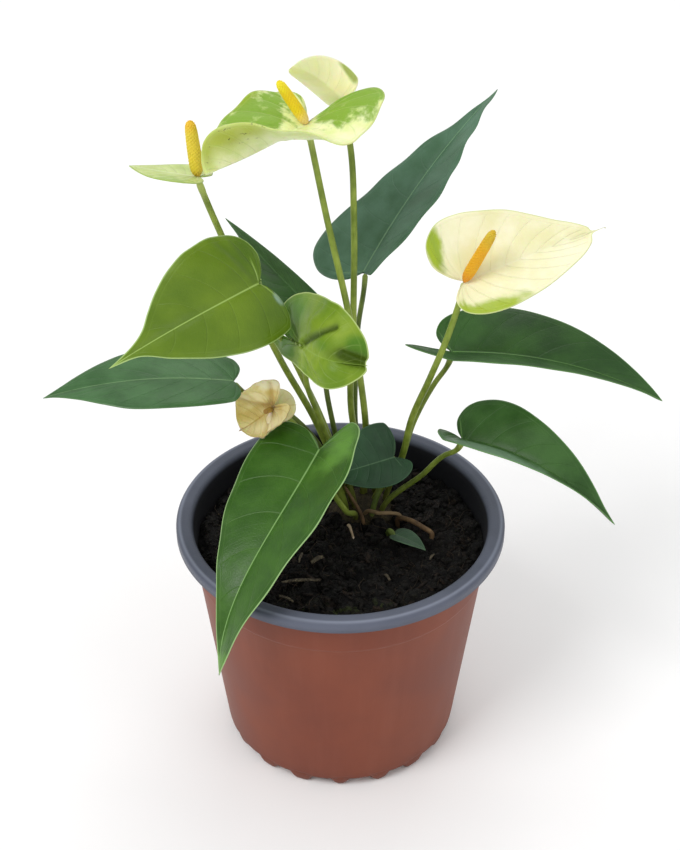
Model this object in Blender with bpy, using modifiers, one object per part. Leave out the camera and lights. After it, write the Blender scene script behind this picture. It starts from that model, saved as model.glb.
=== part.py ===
# A potted anthurium: heart-shaped leaves and five small blooms in a round plastic pot.
# Metres, +Z up. The origin is the middle of the pot's underside, and -Y is the front.

from math import acos, cos, exp, pi, radians, sin

import bmesh
import bpy
from mathutils import Matrix, Vector

# Pot: one formed sheet, terracotta outside and grey inside, rolled over at the lip
POT_HEIGHT = 0.104
LIP_RADIUS = 0.065
LIP_WIDTH = 0.0062
LIP_DROP = 0.0057
SHEET = 0.0012
SHOULDER_RADIUS = 0.0582
STEP_HEIGHT = 0.090
STEP_DEPTH = 0.0006
BASE_RADIUS = 0.0476
HEEL_HEIGHT = 0.0060
HEEL_WIDTH = 0.0054
HEEL_ANGLES = (30, 62, 90)
CORNER_INSET = 0.3
FOOT_COUNT = 18
FOOT_HEIGHT = 0.0022
FOOT_INNER_RADIUS = 0.036
DRAIN_COUNT = 6
DRAIN_RADIUS = 0.0035
DRAIN_CIRCLE = 0.026
DRAIN_SIDES = 12
POT_STEPS = 3 * FOOT_COUNT

# Soil and the crown that the stalks grow from
SOIL_LEVEL = 0.092
SOIL_LUMP = 0.0011
SOIL_RINGS = 8
SOIL_EDGE_SHARE = 0.4
SOIL_STEPS = 48
SOIL_EDGE_DROP = 0.004
SOIL_HEEL_CLEAR = 0.002
# Ripples of the soil's top: size, turns along X and Y in radians a metre, phase
SOIL_RIPPLES = ((0.9, 470, 150, 0.4), (0.6, 520, -410, 2.0), (0.6, 190, 640, 0.9))
CROWN_CENTRE = (0.009, 0.020)
CROWN_RADII = (0.0145, 0.0135, 0.0080)
CROWN_MIDDLE = 0.089
CROWN_LUMP = 0.05
FOOT_LEVEL = 0.0865
HOLE_TOP = 0.105
HOLE_SIDES = 10
STALK_STRAIGHT = 0.0095
STALK_ARRIVAL = 0.006
BEND_PER_POINT = radians(9)

# Clearance between pieces that touch, and the thickness of leaf and spathe
GAP = 0.0003
LEAF_THICKNESS = 0.0008
SPATHE_THICKNESS = 0.0009

# Half of a blade's outline: share of its length, share of its half width
OUTLINES = {
    "heart": (
        (0.00, 0.00), (-0.07, 0.14), (-0.13, 0.38), (-0.11, 0.68), (-0.02, 0.92), (0.12, 1.00),
        (0.28, 0.94), (0.43, 0.78), (0.57, 0.54), (0.70, 0.29), (0.84, 0.10), (1.00, 0.00),
    ),
    "oval": (
        (0.00, 0.00), (-0.06, 0.18), (-0.09, 0.42), (-0.05, 0.72), (0.07, 0.93), (0.23, 1.00),
        (0.40, 0.92), (0.56, 0.77), (0.70, 0.57), (0.82, 0.36), (0.92, 0.17), (1.00, 0.00),
    ),
    "lobed": (
        (0.00, 0.00), (-0.07, 0.14), (-0.13, 0.36), (-0.13, 0.62), (-0.08, 0.86), (0.06, 1.00),
        (0.26, 0.95), (0.43, 0.78), (0.57, 0.54), (0.70, 0.29), (0.84, 0.10), (1.00, 0.00),
    ),
    "blunt": (
        (0.00, 0.00), (-0.10, 0.16), (-0.17, 0.45), (-0.15, 0.76), (-0.03, 0.95), (0.18, 1.00),
        (0.42, 0.98), (0.65, 0.90), (0.83, 0.70), (0.95, 0.42), (1.00, 0.15), (1.00, 0.00),
    ),
    "full": (
        (0.00, 0.00), (-0.08, 0.18), (-0.14, 0.42), (-0.06, 0.62), (0.12, 0.76), (0.32, 0.91),
        (0.52, 1.00), (0.70, 0.96), (0.85, 0.74), (0.95, 0.43), (1.00, 0.15), (1.00, 0.00),
    ),
    "arrow": (
        (0.00, 0.00), (-0.06, 0.20), (-0.09, 0.48), (-0.08, 0.76), (-0.02, 0.96), (0.08, 1.00),
        (0.20, 0.84), (0.35, 0.64), (0.51, 0.47), (0.66, 0.30), (0.82, 0.10), (1.00, 0.00),
    ),
    "long": (
        (0.00, 0.00), (-0.05, 0.20), (-0.07, 0.46), (0.00, 0.72), (0.16, 0.92), (0.36, 1.00),
        (0.54, 0.94), (0.68, 0.72), (0.80, 0.43), (0.89, 0.22), (0.95, 0.09), (1.00, 0.00),
    ),
}
BLADE_GRID = (14, 6)
# The first rows fan out round the junction, and the others close up towards the tip.
LOBE_SHARE = 0.30
ROW_SPACING = 1.15

# Each leaf: where its stalk meets it, its tip, then for its left and right half, as seen
# from the stalk, the outline, the width and how far the lobe reaches back. Then how it
# leans, arches, folds and curls. The stalk stands in the crown at "foot" and passes
# through the points of "route". "grid" is given where a blade needs fewer rows and columns.
LEAVES = {
    "front_leaf": dict(
        junction=(-0.008, -0.008, 0.141), tip=(-0.045, -0.066, 0.080),
        halves=("oval", "heart"), widths=(0.0235, 0.0235), lobes=(1.8, 0.6),
        roll=5, arch=0.16, droop=4, sway=0.025, folds=(22, 10), cups=(0, -10),
        foot=(-0.0026, -0.0088), route=((0.002, -0.003, 0.108), (-0.004, -0.008, 0.124)),
    ),
    "left_upper_leaf": dict(
        junction=(-0.029, -0.002, 0.210), tip=(-0.078, -0.046, 0.202),
        halves=("heart", "heart"), widths=(0.021, 0.022), lobes=(0.9, 0.8),
        roll=-40, arch=0.06, droop=3, folds=(8, 8), cups=(-20, -20),
        foot=(-0.0042, -0.0010), route=((-0.006, 0.0195, 0.1325), (-0.0162, 0.009, 0.167)),
    ),
    "left_lower_leaf": dict(
        junction=(-0.041, 0.012, 0.159), tip=(-0.113, 0.005, 0.156),
        halves=("long", "long"), widths=(0.018, 0.018), lobes=(0.5, 0.5),
        roll=0, arch=0.06, droop=2, folds=(5, 12), cups=(-20, -10),
        foot=(-0.0090, -0.0008), route=((-0.014, 0.018, 0.133), (-0.030, 0.015, 0.149)),
    ),
    "back_leaf": dict(
        junction=(-0.004, 0.030, 0.172), tip=(-0.045, 0.060, 0.204),
        halves=("heart", "oval"), widths=(0.018, 0.007), lobes=(1.0, 1.0),
        roll=0, arch=0.03, droop=2, sway=0.04, folds=(15, 15), cups=(-10, -10),
        foot=(-0.0042, 0.0084), route=((-0.003, 0.028, 0.128), (-0.006, 0.030, 0.148)),
    ),
    "young_leaf": dict(
        junction=(-0.014, -0.012, 0.190), tip=(0.009, -0.032, 0.194),
        halves=("blunt", "full"), widths=(0.020, 0.0110), lobes=(3.2, 3.6),
        roll=68, arch=0.26, droop=4, folds=(5, 5), cups=(-30, -30),
        foot=(-0.0030, -0.0046), route=((-0.007, 0.013, 0.138), (-0.013, -0.001, 0.170)),
    ),
    "top_right_leaf": dict(
        junction=(0.009, 0.040, 0.191), tip=(0.061, 0.085, 0.247),
        halves=("arrow", "oval"), widths=(0.0285, 0.020), lobes=(1.0, 0.1),
        roll=-15, arch=0.04, droop=2, folds=(20, 42), cups=(-10, -10),
        foot=(0.0018, 0.0092),
        route=((0.006, 0.035, 0.125), (0.006, 0.037, 0.144), (0.007, 0.039, 0.168)),
    ),
    "right_upper_leaf": dict(
        junction=(0.043, 0.020, 0.167), tip=(0.125, 0.015, 0.148),
        halves=("oval", "oval"), widths=(0.021, 0.011), lobes=(0.8, 2.2),
        roll=5, arch=0.08, droop=2, folds=(28, 35), cups=(-10, -10), lifts=(0.0, 0.35),
        foot=(0.0090, 0.0012),
        route=((0.025, 0.023, 0.115), (0.029, 0.022, 0.133), (0.037, 0.022, 0.152)),
    ),
    "right_lower_leaf": dict(
        junction=(0.047, 0.003, 0.138), tip=(0.103, -0.028, 0.121),
        halves=("oval", "oval"), widths=(0.021, 0.019), lobes=(0.8, 0.75),
        roll=5, arch=0.12, droop=2, folds=(28, 43), cups=(-10, -20), lifts=(0.0, 0.8),
        foot=(0.0074, -0.0050), route=((0.033, 0.012, 0.115), (0.041, 0.007, 0.128)),
    ),
    "centre_leaf": dict(
        junction=(0.021, 0.0105, 0.1243), tip=(-0.011, 0.0065, 0.1155),
        halves=("heart", "heart"), widths=(0.0105, 0.0150), lobes=(1.4, 0.5),
        roll=-55, arch=0.08, droop=2, folds=(5, 5), cups=(-10, -10),
        foot=(0.0034, -0.0084), route=((0.016, 0.014, 0.107),),
    ),
    "soil_leaf": dict(
        junction=(0.021, -0.001, 0.0975), tip=(0.033, -0.009, 0.0965),
        halves=("oval", "oval"), widths=(0.0045, 0.0045), lobes=(1.0, 1.0),
        roll=0, arch=0.06, droop=2, folds=(12, 12), cups=(0, 0),
        foot=(0.0105, -0.0185), route=(), grid=(10, 4),
    ),
}
LEAF_STALK_RADIUS = 0.0012

# Each bloom: the spathe as a blade, and its spadix by its tip and its radius at the foot
BLOOMS = {
    "top_bloom": dict(
        junction=(-0.012, 0.032, 0.256), tip=(-0.047, 0.003, 0.250),
        halves=("lobed", "long"), widths=(0.030, 0.022), lobes=(3.6, 1.6),
        roll=0, arch=-0.02, droop=2, folds=(6, 30), cups=(0, -10),
        closing=(110, -25), lifts=(0.35, 0.3),
        foot=(0.0004, 0.0044),
        route=((0.010, 0.022, 0.132), (0.008, 0.021, 0.152), (0.003, 0.023, 0.183), (-0.005, 0.028, 0.220)),
        spadix_tip=(-0.022, 0.028, 0.274), spadix_radius=0.0023,
    ),
    "back_bloom": dict(
        junction=(0.001, 0.046, 0.2597), tip=(-0.017, 0.032, 0.2777),
        halves=("heart", "heart"), widths=(0.010, 0.011), lobes=(0.4, 0.4),
        roll=60, arch=0.10, droop=2, folds=(12, 12), cups=(55, 55),
        foot=(0.0060, 0.0064),
        route=((0.005, 0.031, 0.127), (0.005, 0.033, 0.174), (0.005, 0.0345, 0.2165), (0.004, 0.040, 0.240)),
        spadix_tip=(-0.0036, 0.0511, 0.2653), spadix_radius=0.0013,
    ),
    "left_bloom": dict(
        junction=(-0.051, 0.020, 0.241), tip=(-0.076, 0.025, 0.243),
        halves=("oval", "oval"), widths=(0.016, 0.016), lobes=(1.6, 1.6),
        roll=20, arch=0.06, droop=2, folds=(12, 12), cups=(10, 10),
        foot=(-0.0078, 0.0046),
        route=((-0.009, 0.024, 0.130), (-0.023, 0.022, 0.162), (-0.043, 0.020, 0.216)),
        spadix_tip=(-0.053, 0.022, 0.262), spadix_radius=0.0027,
    ),
    "right_bloom": dict(
        junction=(0.045, 0.008, 0.205), tip=(0.095, 0.012, 0.225),
        halves=("heart", "oval"), widths=(0.025, 0.016), lobes=(1.0, 1.0),
        roll=50, arch=0.03, droop=2, folds=(8, 8), cups=(5, 5),
        foot=(0.0044, 0.0004),
        route=(
            (0.0240, 0.0180, 0.1170), (0.0278, 0.0150, 0.1395),
            (0.0340, 0.0090, 0.1625), (0.0395, 0.0065, 0.1815),
        ),
        spadix_tip=(0.054, 0.000, 0.230), spadix_radius=0.0023,
    ),
    "withered_bloom": dict(
        junction=(-0.0265, 0.008, 0.1490), tip=(-0.0385, 0.004, 0.1415),
        halves=("blunt", "blunt"), widths=(0.011, 0.014), lobes=(3.4, 3.4),
        roll=-45, arch=-0.10, droop=2, folds=(25, 25), cups=(50, 50), wave=0.0012, waves=2.5,
        foot=(-0.0066, -0.0060), route=((-0.006, 0.012, 0.120), (-0.016, 0.011, 0.137)),
        spadix_tip=(-0.029, 0.002, 0.1515), spadix_radius=0.0012,
    ),
}
BLOOM_STALK_RADIUS = 0.0014
SPADIX_ROWS = 22
SPADIX_FLORETS = 7
SMALL_SPADIX = 0.002
SMALL_SPADIX_ROWS = 14
SMALL_SPADIX_FLORETS = 5
SPADIX_RELIEF = 0.055
# How fast the spadix widens from its foot, narrows upwards and closes at its blunt tip
SPADIX_FOOT = 14
SPADIX_TAPER = 0.2
SPADIX_TIP = 12

LOW_STRAIGHT = 0.0078

# A brown runner that arches over the soil, and an old dry stalk in the crown
RUNNER_ENDS = ((0.0235, 0.0098), (0.0365, -0.0008))
RUNNER_TOP = ((0.0270, 0.0066, 0.0962), (0.0330, 0.0020, 0.0958))
RUNNER_RADIUS = 0.0010
OLD_STALK_FOOT = (0.0003, -0.0112)
OLD_STALK_TOP = (0.0018, 0.0110, 0.1095)
OLD_STALK_RADIUS = 0.0009

# Colours of the source model
TERRACOTTA = (0.27, 0.085, 0.040)
LIP_GREY = (0.15, 0.16, 0.19)
SOIL_BROWN = (0.012, 0.009, 0.007)
CROWN_BROWN = (0.10, 0.065, 0.03)
STALK_GREEN = (0.22, 0.30, 0.05)
DARK_LEAF = (0.035, 0.100, 0.035)
MID_LEAF = (0.06, 0.16, 0.03)
BRIGHT_LEAF = (0.14, 0.27, 0.02)
CREAM = (0.85, 0.80, 0.50)
PALE_GREEN = (0.50, 0.62, 0.25)
SPADIX_GOLD = (0.80, 0.45, 0.03)
WITHERED_TAN = (0.45, 0.36, 0.13)
LEAF_COLOURS = {
    "front_leaf": MID_LEAF,
    "left_upper_leaf": BRIGHT_LEAF,
    "young_leaf": BRIGHT_LEAF,
}
SPATHE_COLOURS = {
    "top_bloom": PALE_GREEN,
    "left_bloom": PALE_GREEN,
    "withered_bloom": WITHERED_TAN,
}


def clear_scene():
    for item in list(bpy.data.objects):
        bpy.data.objects.remove(item)


def new_collection(name):
    collection = bpy.data.collections.new(name)
    bpy.context.scene.collection.children.link(collection)
    return collection


def new_material(name, colour, roughness):
    material = bpy.data.materials.new(name)
    material.use_nodes = True
    shader = material.node_tree.nodes["Principled BSDF"]
    shader.inputs["Base Color"].default_value = (*colour, 1.0)
    shader.inputs["Roughness"].default_value = roughness
    shader.inputs["Metallic"].default_value = 0.0
    return material


def new_object(name, mesh, collection, *materials):
    item = bpy.data.objects.new(name, mesh)
    collection.objects.link(item)
    for material in materials:
        mesh.materials.append(material)
    return item


def evaluated_mesh(item):
    bpy.context.view_layer.update()
    graph = bpy.context.evaluated_depsgraph_get()
    return bpy.data.meshes.new_from_object(item.evaluated_get(graph))


def cut(item, name, cutters, collection):
    # All cutters of a piece are one collection, taken away in one step.
    group = bpy.data.collections.new(name)
    collection.children.link(group)
    for cutter in cutters:
        collection.objects.unlink(cutter)
        group.objects.link(cutter)
        cutter.hide_render = True
        cutter.display_type = "WIRE"
    boolean = item.modifiers.new(name, "BOOLEAN")
    boolean.operation = "DIFFERENCE"
    boolean.operand_type = "COLLECTION"
    boolean.collection = group
    boolean.solver = "EXACT"


def upright_cylinder(name, centre, radius, bottom, top, sides, collection):
    bm = bmesh.new()
    bmesh.ops.create_cone(
        bm, cap_ends=True, segments=sides, radius1=radius, radius2=radius, depth=top - bottom
    )
    mesh = bpy.data.meshes.new(name)
    bm.to_mesh(mesh)
    bm.free()
    item = new_object(name, mesh, collection)
    item.location = (centre[0], centre[1], (top + bottom) / 2)
    return item


def turned(name, profile, steps):
    # Spins a profile of (radius, height) points round +Z and returns the plain mesh.
    mesh = bpy.data.meshes.new(name)
    bm = bmesh.new()
    corners = [bm.verts.new((radius, 0.0, height)) for radius, height in profile]
    for first, second in zip(corners, corners[1:]):
        bm.edges.new((first, second))
    bm.to_mesh(mesh)
    bm.free()
    item = bpy.data.objects.new(name, mesh)
    bpy.context.scene.collection.objects.link(item)
    screw = item.modifiers.new("Turn", "SCREW")
    screw.steps = steps
    screw.render_steps = steps
    screw.use_merge_vertices = True
    screw.merge_threshold = 0.00001
    result = evaluated_mesh(item)
    bpy.data.objects.remove(item)
    return result


def wall_radius(height):
    # Middle of the sheet at this height, from the heel up to the step
    share = (height - HEEL_HEIGHT) / (STEP_HEIGHT - HEEL_HEIGHT)
    return BASE_RADIUS + (SHOULDER_RADIUS - STEP_DEPTH - BASE_RADIUS) * share


def make_pot(collection, cutters):
    half = SHEET / 2
    lip_out = LIP_RADIUS - half
    lip_in = LIP_RADIUS - LIP_WIDTH + half
    lip_top = POT_HEIGHT - half
    corner = SHEET
    inset = corner * CORNER_INSET
    heel = [
        (
            BASE_RADIUS - HEEL_WIDTH * (1 - cos(radians(angle))),
            HEEL_HEIGHT - (HEEL_HEIGHT - half) * sin(radians(angle)),
        )
        for angle in HEEL_ANGLES
    ]
    profile = [
        (lip_out, POT_HEIGHT - LIP_DROP),
        (lip_out, lip_top - corner),
        (lip_out - inset, lip_top - inset),
        (lip_out - corner, lip_top),
        (lip_in + corner, lip_top),
        (lip_in + inset, lip_top - inset),
        (lip_in, lip_top - corner),
        (SHOULDER_RADIUS, POT_HEIGHT - LIP_DROP),
        (SHOULDER_RADIUS, STEP_HEIGHT + 2 * STEP_DEPTH),
        (wall_radius(STEP_HEIGHT), STEP_HEIGHT),
        (wall_radius(HEEL_HEIGHT), HEEL_HEIGHT),
        *heel,
        (FOOT_INNER_RADIUS, half),
        (0.0, half),
    ]
    mesh = turned("pot", profile, POT_STEPS)
    # The heel stands on short feet with shallow drain channels between them.
    for corner_point in mesh.vertices:
        x, y, z = corner_point.co
        radius = (x * x + y * y) ** 0.5
        if z < HEEL_HEIGHT - SHEET and radius > FOOT_INNER_RADIUS + SHEET:
            turn = Vector((x, y)).angle_signed(Vector((1.0, 0.0)))
            if cos(FOOT_COUNT * turn) > 0:
                corner_point.co.z += FOOT_HEIGHT
    outside = new_material("pot_outside", TERRACOTTA, 0.55)
    inside = new_material("pot_inside", LIP_GREY, 0.45)
    pot = new_object("pot", mesh, collection, outside, inside)
    shell = pot.modifiers.new("Sheet", "SOLIDIFY")
    shell.thickness = SHEET
    shell.offset = 0.0
    shell.material_offset = 1
    shell.material_offset_rim = 1
    drains = []
    for number in range(DRAIN_COUNT):
        angle = 2 * pi * number / DRAIN_COUNT
        centre = (DRAIN_CIRCLE * cos(angle), DRAIN_CIRCLE * sin(angle))
        name = f"drain_cutter_{number + 1}"
        drains.append(
            upright_cylinder(name, centre, DRAIN_RADIUS, -SHEET, 2 * SHEET, DRAIN_SIDES, cutters)
        )
    cut(pot, "drains", drains, cutters)
    return pot


def soil_height(x, y):
    # A loose top made of a few crossing ripples of unlike length
    ripple = 0.0
    for size, along_x, along_y, phase in SOIL_RIPPLES:
        ripple += size * sin(x * along_x + y * along_y + phase)
    return SOIL_LEVEL + SOIL_LUMP * ripple


def make_soil(collection, cutters):
    clear = SHEET / 2 + GAP
    edge = wall_radius(SOIL_LEVEL - SOIL_EDGE_DROP) - clear
    spacing = edge / (SOIL_RINGS + SOIL_EDGE_SHARE)
    profile = [(spacing * ring, SOIL_LEVEL) for ring in range(SOIL_RINGS + 1)]
    profile += [
        (edge, SOIL_LEVEL - SOIL_EDGE_DROP),
        (wall_radius(2 * HEEL_HEIGHT) - clear, 2 * HEEL_HEIGHT),
        (BASE_RADIUS - clear - SOIL_HEEL_CLEAR, HEEL_HEIGHT + SOIL_HEEL_CLEAR / 2),
        (FOOT_INNER_RADIUS, SHEET + GAP),
        (0.0, SHEET + GAP),
    ]
    mesh = turned("soil", profile, SOIL_STEPS)
    for corner_point in mesh.vertices:
        x, y, z = corner_point.co
        if z > SOIL_LEVEL - SOIL_EDGE_DROP / 2:
            corner_point.co.z = soil_height(x, y)
    soil = new_object("soil", mesh, collection, new_material("soil", SOIL_BROWN, 0.95))
    holes = [crown_body("crown_cutter", GAP, cutters)]
    stems = [(end, RUNNER_RADIUS) for end in RUNNER_ENDS]
    stems.append((in_crown(LEAVES["soil_leaf"]["foot"], 0.0), LEAF_STALK_RADIUS))
    for number, (centre, radius) in enumerate(stems):
        name = f"soil_hole_{number + 1}"
        holes.append(
            upright_cylinder(
                name, centre, radius + GAP, FOOT_LEVEL - GAP, HOLE_TOP, HOLE_SIDES, cutters
            )
        )
    cut(soil, "plain_holes", holes, cutters)
    return soil


def crown_body(name, margin, collection):
    bm = bmesh.new()
    bmesh.ops.create_uvsphere(bm, u_segments=20, v_segments=10, radius=1.0)
    size = [radius + margin for radius in CROWN_RADII]
    for corner_point in bm.verts:
        x, y, z = corner_point.co
        lump = 1 + CROWN_LUMP * sin(5 * x + 3 * y + 1)
        corner_point.co = (x * size[0] * lump, y * size[1] * lump, z * size[2])
    mesh = bpy.data.meshes.new(name)
    bm.to_mesh(mesh)
    bm.free()
    body = new_object(name, mesh, collection)
    body.location = (*CROWN_CENTRE, CROWN_MIDDLE)
    return body


def in_crown(foot, level):
    return Vector((CROWN_CENTRE[0] + foot[0], CROWN_CENTRE[1] + foot[1], level))


def make_crown(collection, cutters):
    crown = crown_body("crown", 0.0, collection)
    crown.data.materials.append(new_material("crown", CROWN_BROWN, 0.85))
    feet = [(leaf["foot"], LEAF_STALK_RADIUS) for name, leaf in LEAVES.items() if name != "soil_leaf"]
    feet += [(bloom["foot"], BLOOM_STALK_RADIUS) for bloom in BLOOMS.values()]
    feet.append((OLD_STALK_FOOT, OLD_STALK_RADIUS))
    holes = []
    for number, (foot, radius) in enumerate(feet):
        name = f"stalk_hole_{number + 1}"
        centre = in_crown(foot, 0.0)
        holes.append(
            upright_cylinder(
                name, centre, radius + GAP, FOOT_LEVEL - GAP, HOLE_TOP, HOLE_SIDES, cutters
            )
        )
    cut(crown, "stalk_holes", holes, cutters)
    return crown


def smooth_route(route, straight_end=False):
    # A curve through the route's points, with more points on it where it bends more. Its
    # first piece is straight, since it stands in a hole.
    spans = [(b - a).length for a, b in zip(route, route[1:])]
    slopes = [(b - a) / span for a, b, span in zip(route, route[1:], spans)]
    tangents = [slopes[0]]
    for index in range(1, len(slopes)):
        before, after = spans[index - 1], spans[index]
        tangents.append((slopes[index - 1] * after + slopes[index] * before) / (before + after))
    tangents.append(slopes[-1])
    tangents[1] = slopes[0]
    if straight_end:
        tangents[-2] = slopes[-1]
    points = [route[0]]
    for index, span in enumerate(spans):
        start, end = route[index], route[index + 1]
        leave, arrive = tangents[index] * span, tangents[index + 1] * span
        bend = leave.angle(slopes[index]) + arrive.angle(slopes[index])
        pieces = 1 + round(bend / BEND_PER_POINT)
        for number in range(1, pieces + 1):
            t = number / pieces
            points.append(
                start * (2 * t**3 - 3 * t**2 + 1)
                + leave * (t**3 - 2 * t**2 + t)
                + end * (3 * t**2 - 2 * t**3)
                + arrive * (t**3 - t**2)
            )
    return points


def make_tube(name, points, radius, collection, material):
    curve = bpy.data.curves.new(name, "CURVE")
    curve.dimensions = "3D"
    curve.bevel_depth = radius
    curve.bevel_resolution = 2
    curve.use_fill_caps = True
    spline = curve.splines.new("POLY")
    spline.points.add(len(points) - 1)
    for spline_point, place in zip(spline.points, points):
        spline_point.co = (*place, 1.0)
    curve.materials.append(material)
    tube = bpy.data.objects.new(name, curve)
    collection.objects.link(tube)
    return tube


def outline_at(outline, share):
    # A smooth curve through the outline's points; share runs from 0 to 1.
    place = share * (len(outline) - 1)
    index = min(int(place), len(outline) - 2)
    t = place - index
    points = [Vector(outline[max(index - 1, 0)]), Vector(outline[index])]
    points += [Vector(outline[index + 1]), Vector(outline[min(index + 2, len(outline) - 1)])]
    a, b, c, d = points
    return 0.5 * (2 * b + (c - a) * t + (2 * a - 5 * b + 4 * c - d) * t**2 + (3 * b - a - 3 * c + d) * t**3)


def bow(along, power):
    # Rises from 0 at the junction to 1 and back to 0 at the tip; a high power bends late.
    peak = (1 / power) ** (1 / (power - 1))
    height = peak - peak**power
    return (along - max(along, 0.0) ** power) / height


def blade_frame(blade, along):
    # The midrib's point there, with the directions to the blade's left and up from it
    start = Vector(blade["junction"])
    chord = Vector(blade["tip"]) - start
    forward = chord.normalized()
    left = Vector((0.0, 0.0, 1.0)).cross(forward).normalized()
    lean = Matrix.Rotation(radians(blade["roll"]), 3, forward)
    left = lean @ left
    up = forward.cross(left)
    arch = blade["arch"] * chord.length
    sway = blade.get("sway", 0.0) * chord.length

    def midrib(share):
        rise = bow(share, blade["droop"])
        return start + chord * share + up * (arch * rise) + left * (sway * 4 * share * (1 - share))

    step = 0.01
    ahead = (midrib(along + step) - midrib(along - step)).normalized()
    twist = Matrix.Rotation(radians(blade.get("twist", 0.0)) * along, 3, ahead)
    left = twist @ (left - ahead * left.dot(ahead)).normalized()
    return midrib(along), left, ahead.cross(left)


def blade_length(blade):
    return (Vector(blade["tip"]) - Vector(blade["junction"])).length


def on_blade(blade, along, out):
    # along: 0 at the junction, 1 at the tip, below 0 in the lobes; out: -1 right, 1 left
    side = 0 if out >= 0 else 1
    middle, left, up = blade_frame(blade, along)
    reach = abs(out) * blade["widths"][side]
    closing = blade.get("closing", (0, 0))[side] * max(along, 0.0) ** 1.5
    turn = radians(blade["folds"][side] + closing + blade["cups"][side] * abs(out) / 2)
    back = max(-along, 0.0) * blade_length(blade)
    rise = reach * sin(turn) + blade.get("lifts", (0.0, 0.0))[side] * back
    rise += blade.get("wave", 0.0) * out * out * sin(2 * pi * blade.get("waves", 2.0) * along + side)
    return middle + left * (reach * cos(turn) * (1 if side == 0 else -1)) + up * rise


def make_blade(name, blade, thickness, collection, material):
    bm = bmesh.new()
    rows, columns = blade.get("grid", BLADE_GRID)
    bmesh.ops.create_grid(bm, x_segments=rows, y_segments=columns, size=1.0)
    for corner_point in bm.verts:
        share = (corner_point.co.x + 1) / 2
        out = corner_point.co.y
        side = 0 if out >= 0 else 1
        rim_along, rim_out = outline_at(OUTLINES[blade["halves"][side]], share)
        if rim_along < 0:
            rim_along *= blade["lobes"][side]
        # Rows fan out from the junction through the lobes, then run along the midrib.
        rib_along = max((share - LOBE_SHARE) / (1 - LOBE_SHARE), 0.0) ** ROW_SPACING
        along = rib_along + (rim_along - rib_along) * abs(out)
        corner_point.co = on_blade(blade, along, rim_out * out)
    bmesh.ops.remove_doubles(bm, verts=bm.verts, dist=0.00002)
    bmesh.ops.triangulate(bm, faces=bm.faces)
    bmesh.ops.recalc_face_normals(bm, faces=bm.faces)
    mesh = bpy.data.meshes.new(name)
    bm.to_mesh(mesh)
    bm.free()
    item = new_object(name, mesh, collection, material)
    sheet = item.modifiers.new("Thickness", "SOLIDIFY")
    sheet.thickness = thickness
    sheet.offset = 0.0
    return item


def make_stalk(name, blade, radius, thickness, straight, collection, material):
    junction, _, up = blade_frame(blade, 0.0)
    foot = in_crown(blade["foot"], FOOT_LEVEL)
    route = [foot, foot + Vector((0.0, 0.0, straight))]
    route += [Vector(place) for place in blade["route"]]
    # It ends under the junction, between its own course and the blade's normal.
    heading = (junction - route[-1]).normalized()
    arrival = (4 * heading + up).normalized()
    tilt = arrival.angle(up)
    top = junction - up * (thickness / 2 + GAP + radius * sin(tilt))
    if straight == STALK_STRAIGHT:
        route.append(top - arrival * STALK_ARRIVAL)
    route.append(top)
    return make_tube(name, smooth_route(route), radius, collection, material)


def make_spadix(name, bloom, collection, material):
    small = bloom["spadix_radius"] < SMALL_SPADIX
    rows = SMALL_SPADIX_ROWS if small else SPADIX_ROWS
    florets = SMALL_SPADIX_FLORETS if small else SPADIX_FLORETS
    base, _, up = blade_frame(bloom, 0.0)
    base = base + up * (SPATHE_THICKNESS / 2 + GAP)
    axis = Vector(bloom["spadix_tip"]) - base
    length = axis.length
    bm = bmesh.new()
    bmesh.ops.create_uvsphere(bm, u_segments=2 * florets, v_segments=rows, radius=1.0)
    for corner_point in bm.verts:
        x, y, z = corner_point.co
        row = round(acos(max(-1.0, min(1.0, z))) / pi * rows)
        share = 1 - row / rows
        turn = Vector((x, y)).angle_signed(Vector((1.0, 0.0)), 0.0)
        floret = cos(florets * turn) * (1 if row % 2 else -1)
        body = 1 - exp(-SPADIX_FOOT * share)
        body *= (1 - SPADIX_TAPER * share) * (1 - share**SPADIX_TIP) ** 0.5
        radius = bloom["spadix_radius"] * body * (1 + SPADIX_RELIEF * floret)
        corner_point.co = (radius * cos(turn), radius * sin(turn), length * share)
    mesh = bpy.data.meshes.new(name)
    bm.to_mesh(mesh)
    bm.free()
    mesh.shade_smooth()
    item = new_object(name, mesh, collection, material)
    item.location = base
    item.rotation_euler = Vector((0.0, 0.0, 1.0)).rotation_difference(axis).to_euler()
    return item


def make_leaves(collection, stalk_material):
    for name, leaf in LEAVES.items():
        colour = LEAF_COLOURS.get(name, DARK_LEAF)
        material = new_material(name, colour, 0.4)
        make_blade(name, leaf, LEAF_THICKNESS, collection, material)
        straight = LOW_STRAIGHT if name == "soil_leaf" else STALK_STRAIGHT
        make_stalk(
            f"{name}_stalk", leaf, LEAF_STALK_RADIUS, LEAF_THICKNESS, straight, collection, stalk_material
        )


def make_blooms(collection, stalk_material):
    gold = new_material("spadix", SPADIX_GOLD, 0.6)
    for name, bloom in BLOOMS.items():
        colour = SPATHE_COLOURS.get(name, CREAM)
        material = new_material(f"{name}_spathe", colour, 0.45)
        make_blade(f"{name}_spathe", bloom, SPATHE_THICKNESS, collection, material)
        make_spadix(f"{name}_spadix", bloom, collection, gold)
        make_stalk(
            f"{name}_stalk", bloom, BLOOM_STALK_RADIUS, SPATHE_THICKNESS, STALK_STRAIGHT, collection,
            stalk_material,
        )


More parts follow.
